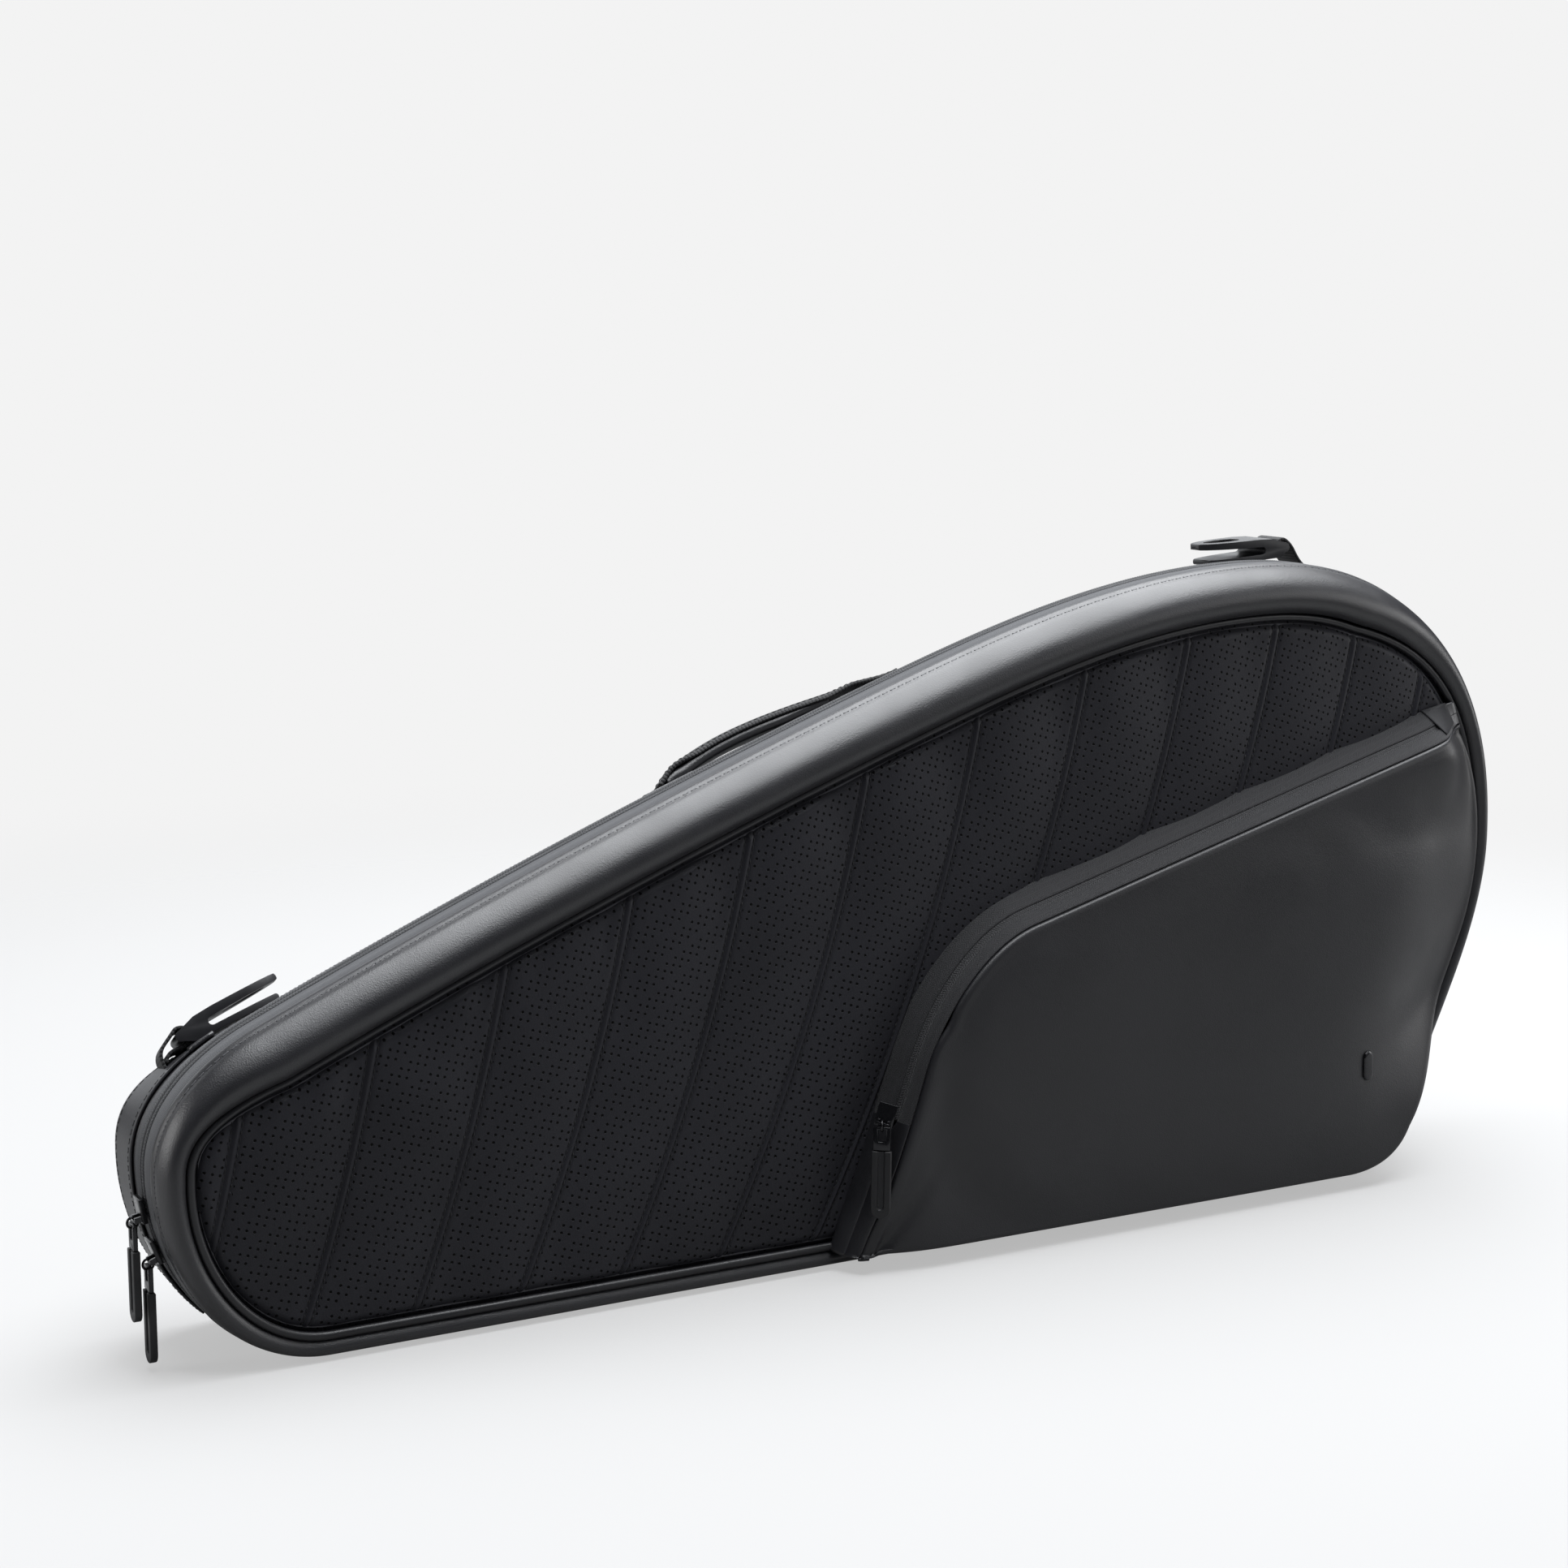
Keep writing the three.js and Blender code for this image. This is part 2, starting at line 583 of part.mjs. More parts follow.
// Slider at the origin: plate on +X side of x = 0, loop pointing to -X, travel along Z.
function sliderBody() {
  const plateSolid = box(SLIDER_BASE, 9, 11.5).translate(-SLIDER_BASE / 2, 0, 0.6);
  const loopBar = box(2 * BAR_R, 6.4, 2 * BAR_R).translate(-SLIDER_BASE - LOOP_RISE, 0, -3.6);
  const post = (side) => {
    return box(LOOP_RISE + 1, 1.3, 2.5).translate(-SLIDER_BASE - LOOP_RISE / 2 + 0.1, 2.55 * side, -2.95);
  };
  return join(plateSolid, post(-1), post(1), loopBar);
}

// Puller hanging from a bar at the origin: link ring, metal frame and rubber sleeve.
const RING_DROP = 1.1 * Math.SQRT1_2;
const FRAME_BAR = 1.2;
const FRAME_TOP = -RING_DROP - RING_R + RING_WIRE + GAP + FRAME_BAR;
const FRAME_LENGTH = 11.5;
const SLEEVE_LENGTH = 33;
const SLEEVE_W = 9.6;
const SLEEVE_T = 3.4;

function frameBody() {
  const whole = box(2, 8.4, FRAME_LENGTH);
  const window = box(4, 3.6, 6).translate(0, 0, FRAME_LENGTH / 2 - FRAME_BAR - 3);
  return cut(whole, window);
}

function sleeveBody() {
  const shape = new THREE.Shape();
  shape.moveTo(SLEEVE_W / 2, 0);
  shape.lineTo(-SLEEVE_W / 2, 0);
  shape.lineTo(-SLEEVE_W / 2, SLEEVE_W / 2 - SLEEVE_LENGTH);
  shape.absarc(0, SLEEVE_W / 2 - SLEEVE_LENGTH, SLEEVE_W / 2, Math.PI, 2 * Math.PI, false);
  const groove = new THREE.Shape();
  groove.moveTo(1.6, 1);
  groove.lineTo(-1.6, 1);
  groove.lineTo(-1.6, 6 - SLEEVE_LENGTH);
  groove.absarc(0, 6 - SLEEVE_LENGTH, 1.6, Math.PI, 2 * Math.PI, false);
  const solidPart = extrudeY(shape, SLEEVE_T);
  const recess = extrudeY(groove, 2).translate(0, -SLEEVE_T / 2, 0);
  return cut(solidPart, recess).rotateZ(-Math.PI / 2);
}

function addPuller(prefix, parent) {
  const out = -RING_DROP;
  const ring = new THREE.TorusGeometry(RING_R, RING_WIRE, 5, 12).rotateX(Math.PI / 2);
  const link = add(`${prefix}_link`, ring, BLACK_METAL, parent);
  link.position.set(out, 0, -RING_DROP);
  const frame = add(`${prefix}_frame`, frameBody(), BLACK_METAL, parent);
  frame.position.set(out, 0, FRAME_TOP - FRAME_LENGTH / 2);
  const sleeve = add(`${prefix}_sleeve`, sleeveBody(), RUBBER, parent);
  sleeve.position.set(out, 0, FRAME_TOP - FRAME_LENGTH - GAP);
}

function addMainSlider(name, angle) {
  const turned = new THREE.Group();
  turned.position.copy(ARC_CENTRE);
  turned.rotation.y = -THREE.MathUtils.degToRad(angle);
  bag.add(turned);
  const slider = add(name, sliderBody(), BLACK_METAL, turned);
  slider.position.x = -ARC_R - GAP;
  const barAxis = new THREE.Vector3(-ARC_R - GAP - SLIDER_BASE - LOOP_RISE, 0, -3.6);
  const hanging = new THREE.Group();
  hanging.position.copy(barAxis.applyEuler(turned.rotation).add(ARC_CENTRE));
  bag.add(hanging);
  addPuller(name.replace("slider", "puller"), hanging);
}
const UPPER_SLIDER_ANGLE = 9.6; // degrees below the arc centre's height
const LOWER_SLIDER_ANGLE = 21;
addMainSlider("upper_slider", UPPER_SLIDER_ANGLE);
addMainSlider("lower_slider", LOWER_SLIDER_ANGLE);

const POCKET_SLIDER = new THREE.Vector3(-17.6, -40.4, 78);
const POCKET_SLIDER_YAW = THREE.MathUtils.degToRad(50);
const POCKET_SLIDER_LEAN = 0.3; // the zip leans over to the right as it rises
const pocketSlide = new THREE.Group();
pocketSlide.position.copy(POCKET_SLIDER);
pocketSlide.rotation.set(0, POCKET_SLIDER_LEAN, POCKET_SLIDER_YAW, "YZX");
bag.add(pocketSlide);
add("pocket_slider", sliderBody(), BLACK_METAL, pocketSlide);
const pocketBar = new THREE.Vector3(-SLIDER_BASE - LOOP_RISE, 0, -3.6);
const pocketHang = new THREE.Group();
pocketHang.position.copy(pocketBar.applyEuler(pocketSlide.rotation).add(POCKET_SLIDER));
pocketHang.rotation.set(0, THREE.MathUtils.degToRad(5.5), POCKET_SLIDER_YAW, "ZYX");
bag.add(pocketHang);
addPuller("pocket_puller", pocketHang);

// ---------------------------------------------------------------- strap hooks
const HOOK_LENGTH = 55;
const HOOK_W = 24;
const STRAP_Y = 32; // middle of the strap hooks
const HOOK_BAR = { x: 2.6, z: 5.4, r: 2.6 };
const HOOK_SLOT_END = 11; // the strap's slot runs from the bar to here
const WRAP_R = HOOK_BAR.r + 1.8; // radius of the strap's middle round the bar

function hookBody() {
  const side = new THREE.Shape();
  side.moveTo(HOOK_BAR.x, HOOK_BAR.z - HOOK_BAR.r);
  side.lineTo(7, 0.4);
  side.lineTo(HOOK_LENGTH - 6, 0);
  side.absarc(HOOK_LENGTH - 6, 1.5, 1.5, -Math.PI / 2, Math.PI / 2, false);
  side.lineTo(18, 3.2);
  side.absarc(18, 5.2, 2, 1.5 * Math.PI, Math.PI / 2, true);
  side.lineTo(HOOK_LENGTH - 2, 8.6);
  side.absarc(HOOK_LENGTH - 2, 10.2, 1.6, -Math.PI / 2, Math.PI / 2, false);
  side.lineTo(20, 11.4);
  side.lineTo(HOOK_SLOT_END, 10.8);
  side.lineTo(HOOK_BAR.x, HOOK_BAR.z + HOOK_BAR.r);
  side.absarc(HOOK_BAR.x, HOOK_BAR.z, HOOK_BAR.r, Math.PI / 2, 1.5 * Math.PI, false);
  const plan = new THREE.Shape();
  plan.moveTo(-1, -HOOK_W / 2);
  plan.lineTo(20, -HOOK_W / 2);
  plan.bezierCurveTo(40, -HOOK_W / 2, HOOK_LENGTH, -8, HOOK_LENGTH, 0);
  plan.bezierCurveTo(HOOK_LENGTH, 8, 40, HOOK_W / 2, 20, HOOK_W / 2);
  plan.lineTo(-1, HOOK_W / 2);
  const window = new THREE.Shape();
  window.moveTo(25, 0);
  window.bezierCurveTo(25, 9, 48, 6, 48, 0);
  window.bezierCurveTo(48, -6, 25, -9, 25, 0);
  const upright = (shape, low, high) => {
    const options = { depth: high - low, bevelEnabled: false, curveSegments: 6 };
    return new THREE.ExtrudeGeometry(shape, options).translate(0, 0, low);
  };
  const outer = common(extrudeY(side, HOOK_W), upright(plan, -2, 14));
  const slotLength = HOOK_SLOT_END - HOOK_BAR.x;
  const slotBlock = box(slotLength, HOOK_W - 3.4, 30).translate(HOOK_BAR.x + slotLength / 2, 0, 0);
  const bar = new THREE.CylinderGeometry(HOOK_BAR.r, HOOK_BAR.r, HOOK_W, 12);
  const strapSlot = cut(slotBlock, bar.translate(HOOK_BAR.x, 0, HOOK_BAR.z));
  return cut(outer, upright(window, 7.4, 14), strapSlot);
}

// A flat strap of the given width, following a path in X and Z.
function ribbon(path, thickness, width, steps) {
  const side = (sign) => {
    const points = [];
    for (let i = 0; i <= steps; i += 1) {
      const s = stationAt(path, i / steps);
      points.push(v2(s.x + (sign * s.nx * thickness) / 2, s.z + (sign * s.nz * thickness) / 2));
    }
    return points;
  };
  return extrudeY(new THREE.Shape([...side(1), ...side(-1).toReversed()]), width);
}

// Each hook turns on its bar; its webbing comes up from the shell and over that bar.
function addHook(name, origin, mirrored, tiltDegrees, leanDegrees, webbing) {
  const group = new THREE.Group();
  const [tilt, lean] = [tiltDegrees, leanDegrees].map(THREE.MathUtils.degToRad);
  group.position.set(origin.x, STRAP_Y, origin.z);
  group.rotation.set(-lean, -tilt, mirrored ? Math.PI : 0, "ZYX");
  bag.add(group);
  add(name, hookBody(), HOOK_PLASTIC, group);
  const path = new THREE.SplineCurve(webbing.map(([x, z]) => v2(x, z)));
  add(`${name}_webbing`, ribbon(path, 1.6, HOOK_W - 5, 16), WEBBING, group);
}
const OVER_BAR = [140, 95, 50, 10, -40].map((degrees) => {
  const angle = THREE.MathUtils.degToRad(degrees);
  return [HOOK_BAR.x + WRAP_R * Math.cos(angle), HOOK_BAR.z + WRAP_R * Math.sin(angle)];
});
const LEFT_STRAP = [[-9.6, 1.3], [-8.6, 5.2], [-4.6, 7.8], ...OVER_BAR];
const RIGHT_STRAP = [[-19.4, -13.9], [-9, -3.5], [-4, 4.6], ...OVER_BAR];
addHook("left_hook", { x: -344, z: 133.8 }, false, 22, 24, LEFT_STRAP);
addHook("right_hook", { x: 268, z: 334 }, true, -4, 0, RIGHT_STRAP);

// ---------------------------------------------------------------- carry handle
const HANDLE_LEFT = -106;
const HANDLE_RIGHT = 26;
const HANDLE_Y = 31;
const HANDLE_W = 15;
const HANDLE_DROP = { left: 10.2, right: 9.7 }; // how far the sewn ends lie below the outline
const HANDLE_LEAN = THREE.MathUtils.degToRad(29); // the strap lies along the falling shell
const TOP_EDGE = STATIONS.filter((s) => s.nz > 0);
const handleEnd = (x, drop) => v3(x, HANDLE_Y, heightAt(TOP_EDGE, x) - drop);
const handleStart = handleEnd(HANDLE_LEFT, HANDLE_DROP.left);
const handleAlong = handleEnd(HANDLE_RIGHT, HANDLE_DROP.right).sub(handleStart);
const handleLength = handleAlong.length();
const handle = new THREE.Group();
handle.position.copy(handleStart);
handle.rotation.set(HANDLE_LEAN * -1, -Math.atan2(handleAlong.z, handleAlong.x), 0, "YXZ");
bag.add(handle);
const handleCurve = bezier(
  [0, 0],
  [0.29 * handleLength, 19.6],
  [0.83 * handleLength, -3.2],
  [handleLength, 0],
);
add("handle_webbing", ribbon(handleCurve, 2.4, HANDLE_W, 16), WEBBING, handle);

// The padding lies under the raised part of the webbing only.
const PADDED_FROM = 0.14;
const PADDED_TO = 0.54;
const PADDING = 4.6;
const paddingPoints = Array.from({ length: 9 }, (_, i) => {
  const s = stationAt(handleCurve, PADDED_FROM + ((PADDED_TO - PADDED_FROM) * i) / 8);
  const drop = 1.2 + GAP / 2 + PADDING / 2;
  return v2(s.x + s.nx * drop, s.z + s.nz * drop);
});
const paddingCurve = new THREE.SplineCurve(paddingPoints);
add("handle_padding", ribbon(paddingCurve, PADDING, HANDLE_W - 2, 12), LEATHER, handle);
const topCurve = (x) => (x < MID_TOP[0] ? OUTLINE[5].curve : OUTLINE[4].curve);

// A station on the top edge at a given x, found by bisection along its curve.
function topStation(x) {
  let [low, high] = [0, 1];
  for (let i = 0; i < 30; i += 1) {
    const middle = (low + high) / 2;
    [low, high] = topCurve(x).getPoint(middle).x > x ? [middle, high] : [low, middle];
  }
  return stationAt(topCurve(x), low);
}
for (const [side, x] of [["left", HANDLE_LEFT], ["right", HANDLE_RIGHT]]) {
  const run = [12, 4, -4, -12].map((offset) => topStation(x + offset));
  add(`handle_anchor_${side}`, shellPatch(run, HANDLE_Y - 10, HANDLE_Y + 10, 1.2), LEATHER);
}

export default bag;
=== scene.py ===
import math

import bmesh
import bpy
import numpy as np
from mathutils import Matrix, Vector

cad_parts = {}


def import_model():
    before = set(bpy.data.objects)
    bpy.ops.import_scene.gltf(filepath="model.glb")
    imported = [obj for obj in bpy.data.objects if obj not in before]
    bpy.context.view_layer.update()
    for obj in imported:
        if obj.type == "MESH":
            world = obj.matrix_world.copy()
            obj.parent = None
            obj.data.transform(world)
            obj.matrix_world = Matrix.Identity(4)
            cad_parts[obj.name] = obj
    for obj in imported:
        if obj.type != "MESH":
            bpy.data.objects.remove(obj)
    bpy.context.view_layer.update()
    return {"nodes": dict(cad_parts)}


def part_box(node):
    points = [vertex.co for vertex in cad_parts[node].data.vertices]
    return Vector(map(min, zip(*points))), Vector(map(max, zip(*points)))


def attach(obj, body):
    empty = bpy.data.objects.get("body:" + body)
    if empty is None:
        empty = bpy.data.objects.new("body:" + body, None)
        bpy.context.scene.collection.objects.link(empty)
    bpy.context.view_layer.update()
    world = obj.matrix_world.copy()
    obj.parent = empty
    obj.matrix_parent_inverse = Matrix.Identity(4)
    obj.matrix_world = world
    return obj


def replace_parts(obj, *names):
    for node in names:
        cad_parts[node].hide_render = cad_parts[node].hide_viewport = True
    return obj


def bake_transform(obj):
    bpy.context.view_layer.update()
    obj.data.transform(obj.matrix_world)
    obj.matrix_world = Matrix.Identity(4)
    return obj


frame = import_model()
MM = 0.001  # lengths below are in millimetres, and meshes are in metres

# ------------------------------------------------------------------ driving sizes
LENGTH_CENTRE = 1.85
PANEL_Y = -26.0
BACK_Y = 52.0
STITCH_Y = -14.0
TAPE_BACK_Y = 11.0
COIL_HALF = 3.6
SKIN = 2.2
BAND_SIDE, BAND_TOP, BAND_BOTTOM = 13.0, 26.0, 9.0
BAND_PUFF = 4.0
# The band's roll along the top: share of its width, and depth, from the zip to the panel.
BAND_ROLL = ((0.0, STITCH_Y), (0.04, -22.0), (0.62, -41.0), (1.0, -27.0))
REAR_DROP, REAR_LEAN, REAR_ROUND = 19.0, 2.0, 5.0
ZIP_FALL = 3.0
PIPING_R = 2.1
ZIP_END_LEFT, ZIP_END_RIGHT = 24.0, 60.0
STRAP_Y = 32.0

# Cubic curves of the outline in X and Z, anticlockwise from the left of the flat base.
OUTLINE = (
    ((-296, 0), (-109, 0), (79, 0), (266, 0)),
    ((266, 0), (296, 0), (318, 17), (329, 42)),
    ((329, 42), (349, 88), (377, 135), (377, 183)),
    ((377, 183), (377, 278), (319, 336), (224, 336)),
    ((224, 336), (138, 336), (58, 307.5), (-16, 280.4)),
    ((-16, 280.4), (-119, 242.6), (-224, 200), (-324, 154)),
    ((-324, 154), (-348, 143), (-373, 122), (-373, 92)),
    ((-373, 92), (-373, 45), (-341, 0), (-296, 0)),
)


# ------------------------------------------------------------------ curves
def smooth_step(x, low, high):
    t = np.clip((np.asarray(x, float) - low) / (high - low), 0, 1)
    return t * t * (3 - 2 * t)


def bump_at(x, centre, width):
    return np.exp(-(((np.asarray(x, float) - centre) / width) ** 2))


def bezier(points, steps=60):
    a, b, c, d = (np.array(p, float) for p in points)
    t = np.linspace(0, 1, steps, endpoint=False)[:, None]
    return (1 - t) ** 3 * a + 3 * (1 - t) ** 2 * t * b + 3 * (1 - t) * t * t * c + t**3 * d


def polyline(curves):
    """Joined cubic curves as one dense line, with its last point."""
    return np.vstack([bezier(c) for c in curves] + [np.array([curves[-1][-1]], float)])


def resample(line, count, closed=False):
    """The line at equal steps; a closed one has its last point on its first, which is left out."""
    steps = np.linalg.norm(np.diff(line, axis=0), axis=1)
    along = np.concatenate([[0], np.cumsum(steps)])
    where = np.linspace(0, along[-1], count, endpoint=not closed)
    return np.stack([np.interp(where, along, line[:, i]) for i in range(line.shape[1])], 1)


class Run:
    """Stations along an edge in X and Z, with outward normals and the length so far."""

    def __init__(self, points, closed=False):
        self.p = points
        self.closed = closed
        ahead, behind = np.roll(points, -1, 0), np.roll(points, 1, 0)
        if not closed:
            ahead[-1], behind[0] = points[-1], points[0]
        tangent = ahead - behind
        tangent /= np.linalg.norm(tangent, axis=1, keepdims=True)
        self.t = tangent
        self.n = np.stack([tangent[:, 1], -tangent[:, 0]], 1)
        steps = np.linalg.norm(np.diff(points, axis=0), axis=1)
        self.s = np.concatenate([[0], np.cumsum(steps)])

    def part(self, keep):
        """The open run of the stations whose numbers are in keep."""
        piece = Run(self.p[keep])
        piece.n, piece.t = self.n[keep], self.t[keep]
        return piece

    def place(self, inset, y):
        """Points at insets and depths, given for each station and section point."""
        inset, y = np.broadcast_arrays(inset, y)
        xz = self.p[:, None] - self.n[:, None] * inset[..., None]
        return np.stack([xz[..., 0], y, xz[..., 1]], -1)


def column(values):
    return np.asarray(values, float)[:, None]


def world(points):
    """Points of the outline's own frame, moved by the length's centre."""
    return np.asarray(points, float) + (LENGTH_CENTRE, 0)


STATION_COUNT = 720
outline = Run(resample(world(polyline(OUTLINE)), STATION_COUNT, closed=True), closed=True)
facing_down = np.maximum(0, -outline.n[:, 1])


def edge(run):
    return 0.8 * (1 + np.minimum(0, run.n[:, 1]))


def upness(run):
    return np.clip(1.2 * np.maximum(0, run.n[:, 1]) ** 3, 0, 1)


def band_width(run):
    side = BAND_SIDE + (BAND_TOP - BAND_SIDE) * upness(run)
    return side + (BAND_BOTTOM - BAND_SIDE) * np.maximum(0, -run.n[:, 1])


def rear_inset(run):
    return edge(run) + REAR_LEAN * (1 + np.minimum(0, run.n[:, 1])) + REAR_DROP * upness(run)


def gusset_start(run):
    return edge(run) + ZIP_FALL * upness(run)


def top_station(x):
    """The outline's station on its upper edge at a given x, in the outline's own frame."""
    apart = abs(outline.p[:, 0] - x - LENGTH_CENTRE)
    return int(np.argmin(np.where(outline.n[:, 1] > 0, apart, 1e9)))


def nearest(run, x, z):
    return int(np.argmin(np.hypot(run.p[:, 0] - x, run.p[:, 1] - z)))


def between(run, first, last):
    """Station numbers of a closed run from first to last, anticlockwise."""
    count = len(run.p)
    return (first + np.arange((last - first) % count + 1)) % count


# ------------------------------------------------------------------ meshes
def shade_smooth(mesh):
    mesh.polygons.foreach_set("use_smooth", np.ones(len(mesh.polygons), bool))


def mesh_object(name, points, faces, uv=None):
    mesh = bpy.data.meshes.new(name)
    mesh.from_pydata((np.reshape(points, (-1, 3)) * MM).tolist(), [], faces)
    if uv is not None:
        mesh.uv_layers.new(name="UVMap").data.foreach_set("uv", (uv * MM).ravel())
    shade_smooth(mesh)
    obj = bpy.data.objects.new(name, mesh)
    bpy.context.scene.collection.objects.link(obj)
    return obj


def grid_object(name, points, closed_u=False, closed_v=False, caps=False):
    """A surface over rows of points, with a UV map of its lengths along and across."""
    nu, nv = points.shape[:2]
    a, b = np.meshgrid(
        np.arange(nu if closed_u else nu - 1), np.arange(nv if closed_v else nv - 1), indexing="ij"
    )
    a, b = a.ravel(), b.ravel()
    a2, b2 = (a + 1) % nu, (b + 1) % nv
    faces = np.stack([a * nv + b, a2 * nv + b, a2 * nv + b2, a * nv + b2], 1)
    step_u = np.linalg.norm(np.roll(points, -1, 0) - points, axis=2).mean(1)
    step_v = np.linalg.norm(np.roll(points, -1, 1) - points, axis=2).mean(0)
    along = np.concatenate([[0], np.cumsum(step_u)])
    across = np.concatenate([[0], np.cumsum(step_v)])
    corners = [(along[a], across[b]), (along[a + 1], across[b])]
    corners += [(along[a + 1], across[b + 1]), (along[a], across[b + 1])]
    uv = np.stack([np.stack(c, 1) for c in corners], 1).reshape(-1, 2)
    face_list = faces.tolist()
    if caps:
        first, last = list(range(nv)), [(nu - 1) * nv + k for k in range(nv)]
        face_list += [first[::-1], last]
        uv = np.vstack([uv, np.zeros((2 * nv, 2))])
    obj = mesh_object(name, points, face_list, uv)
    if (closed_v and caps) or (closed_u and closed_v):
        face_outwards(obj.data)
    return obj


def face_outwards(mesh):
    """Turns the faces of a closed mesh outwards."""
    whole = bmesh.new()
    whole.from_mesh(mesh)
    bmesh.ops.recalc_face_normals(whole, faces=whole.faces)
    whole.to_mesh(mesh)
    whole.free()


def apply_modifiers(obj):
    """Replaces the object's mesh by what its modifiers make of it."""
    bpy.context.view_layer.update()
    done = bpy.data.meshes.new_from_object(obj.evaluated_get(bpy.context.evaluated_depsgraph_get()))
    obj.modifiers.clear()
    obj.data = done


def thicken(obj, thickness, side=-1.0):
    """Gives a sheet its thickness, behind its faces."""
    solid = obj.modifiers.new("thickness", "SOLIDIFY")
    solid.thickness = thickness * MM
    solid.offset = side
    apply_modifiers(obj)


def face_forward(obj):
    """Turns a sheet's faces so that most of them look out of the front."""
    mesh = obj.data
    if sum(p.normal.y * p.area for p in mesh.polygons) > 0:
        mesh.flip_normals()


def dress(obj, material, body=None):
    obj.data.materials.clear()
    obj.data.materials.append(material)
    if body:
        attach(obj, body)
    return obj


# ------------------------------------------------------------------ materials
class Shader:
    """A material's node tree around one Principled shader."""

    def __init__(self, name, color, roughness, metallic=0.0, specular=0.5):
        self.material = bpy.data.materials.new(name)
        self.material.use_nodes = True
        self.tree = self.material.node_tree
        self.principled = self.tree.nodes["Principled BSDF"]
        self.set("Base Color", (*color, 1.0))
        self.set("Roughness", roughness)
        self.set("Metallic", metallic)
        self.set("Specular IOR Level", specular)

    def set(self, socket, value):
        self.principled.inputs[socket].default_value = value

    def node(self, kind, settings=None, **inputs):
        node = self.tree.nodes.new(kind)
        for key, value in (settings or {}).items():
            setattr(node, key, value)
        for key, value in inputs.items():
            socket = node.inputs[int(key[1:])] if key[0] == "i" and key[1:].isdigit() else node.inputs[key]
            if isinstance(value, bpy.types.NodeSocket):
                self.tree.links.new(value, socket)
            else:
                socket.default_value = value
        return node

    def math(self, operation, a, b=0.0, c=0.0):
        return self.node("ShaderNodeMath", {"operation": operation}, i0=a, i1=b, i2=c).outputs[0]

    def dot(self, vector, direction):
        settings = {"operation": "DOT_PRODUCT"}
        return self.node("ShaderNodeVectorMath", settings, i0=vector, i1=direction).outputs["Value"]

    def place(self):
        """Where a point is, in metres, in the piece's own frame."""
        return self.node("ShaderNodeTexCoord").outputs["Object"]

    def lengths(self):
        """How far a point is along and across its piece, in metres."""
        uv = self.node("ShaderNodeUVMap", {"uv_map": "UVMap"}).outputs[0]
        parts = self.node("ShaderNodeSeparateXYZ", i0=uv)
        return parts.outputs[0], parts.outputs[1]

    def noise(self, scale, detail):
        return self.node("ShaderNodeTexNoise", Vector=self.place(), Scale=scale, Detail=detail).outputs[0]

    def cells(self, scale, vector):
        return self.node("ShaderNodeTexVoronoi", Vector=vector, Scale=scale).outputs["Distance"]

    def ramp(self, value, low, high, to_low=0.0, to_high=1.0):
        settings = {"interpolation_type": "SMOOTHSTEP"}
        inputs = {"Value": value, "From Min": low, "From Max": high, "To Min": to_low, "To Max": to_high}
        return self.node("ShaderNodeMapRange", settings, **inputs).outputs[0]

    def bump(self, height, distance, strength=1.0, under=None):
        inputs = {"Height": height, "Distance": distance, "Strength": strength}
        if under is not None:
            inputs["Normal"] = under
        return self.node("ShaderNodeBump", **inputs).outputs[0]

    def mix_color(self, factor, a, b):
        node = self.node("ShaderNodeMix", {"data_type": "RGBA"})
        for socket, value in ((node.inputs[0], factor), (node.inputs[6], a), (node.inputs[7], b)):
            if isinstance(value, bpy.types.NodeSocket):
                self.tree.links.new(value, socket)
            else:
                socket.default_value = value if isinstance(value, float) else (*value, 1.0)
        return node.outputs[2]

    def link(self, value, socket):
        self.tree.links.new(value, self.principled.inputs[socket])


def tint(color, factor):
    return tuple(c * factor for c in color)


def leather(name, color, roughness=0.42, grain=0.05, specular=0.55):
    """Fine pebbled leather: small cells, softer creases, and a slightly uneven sheen."""
    s = Shader(name, color, roughness, specular=specular)
    stretched = s.node("ShaderNodeVectorMath", {"operation": "ADD"}, i0=s.place())
    wobble = s.node("ShaderNodeTexNoise", Vector=s.place(), Scale=260.0, Detail=2.0).outputs["Color"]
    small = s.node("ShaderNodeVectorMath", {"operation": "SCALE"}, i0=wobble, Scale=0.0016).outputs[0]
    s.tree.links.new(small, stretched.inputs[1])
    pebbles = s.cells(1500.0, stretched.outputs[0])
    creases = s.noise(420.0, 5.0)
    under = s.bump(creases, grain * 1.2 * MM, 0.5)
    normal = s.bump(pebbles, grain * 2.0 * MM, 0.6, under)
    patches = s.ramp(s.noise(14.0, 4.0), 0.3, 0.7)
    s.link(s.mix_color(patches, tint(color, 0.88), tint(color, 1.12)), "Base Color")
    s.link(s.math("ADD", s.ramp(s.noise(33.0, 3.0), 0.3, 0.7, -0.03, 0.04), roughness), "Roughness")
    s.link(normal, "Normal")
    return s, normal


HOLE_PITCH = 3.6
HOLE_ROW_ANGLE = math.radians(-17.7)
HOLE_EDGE = (0.52, 0.78)  # radii, in mm, of a hole's floor and of its rim
HOLE_FROM_SEAM = 3.4


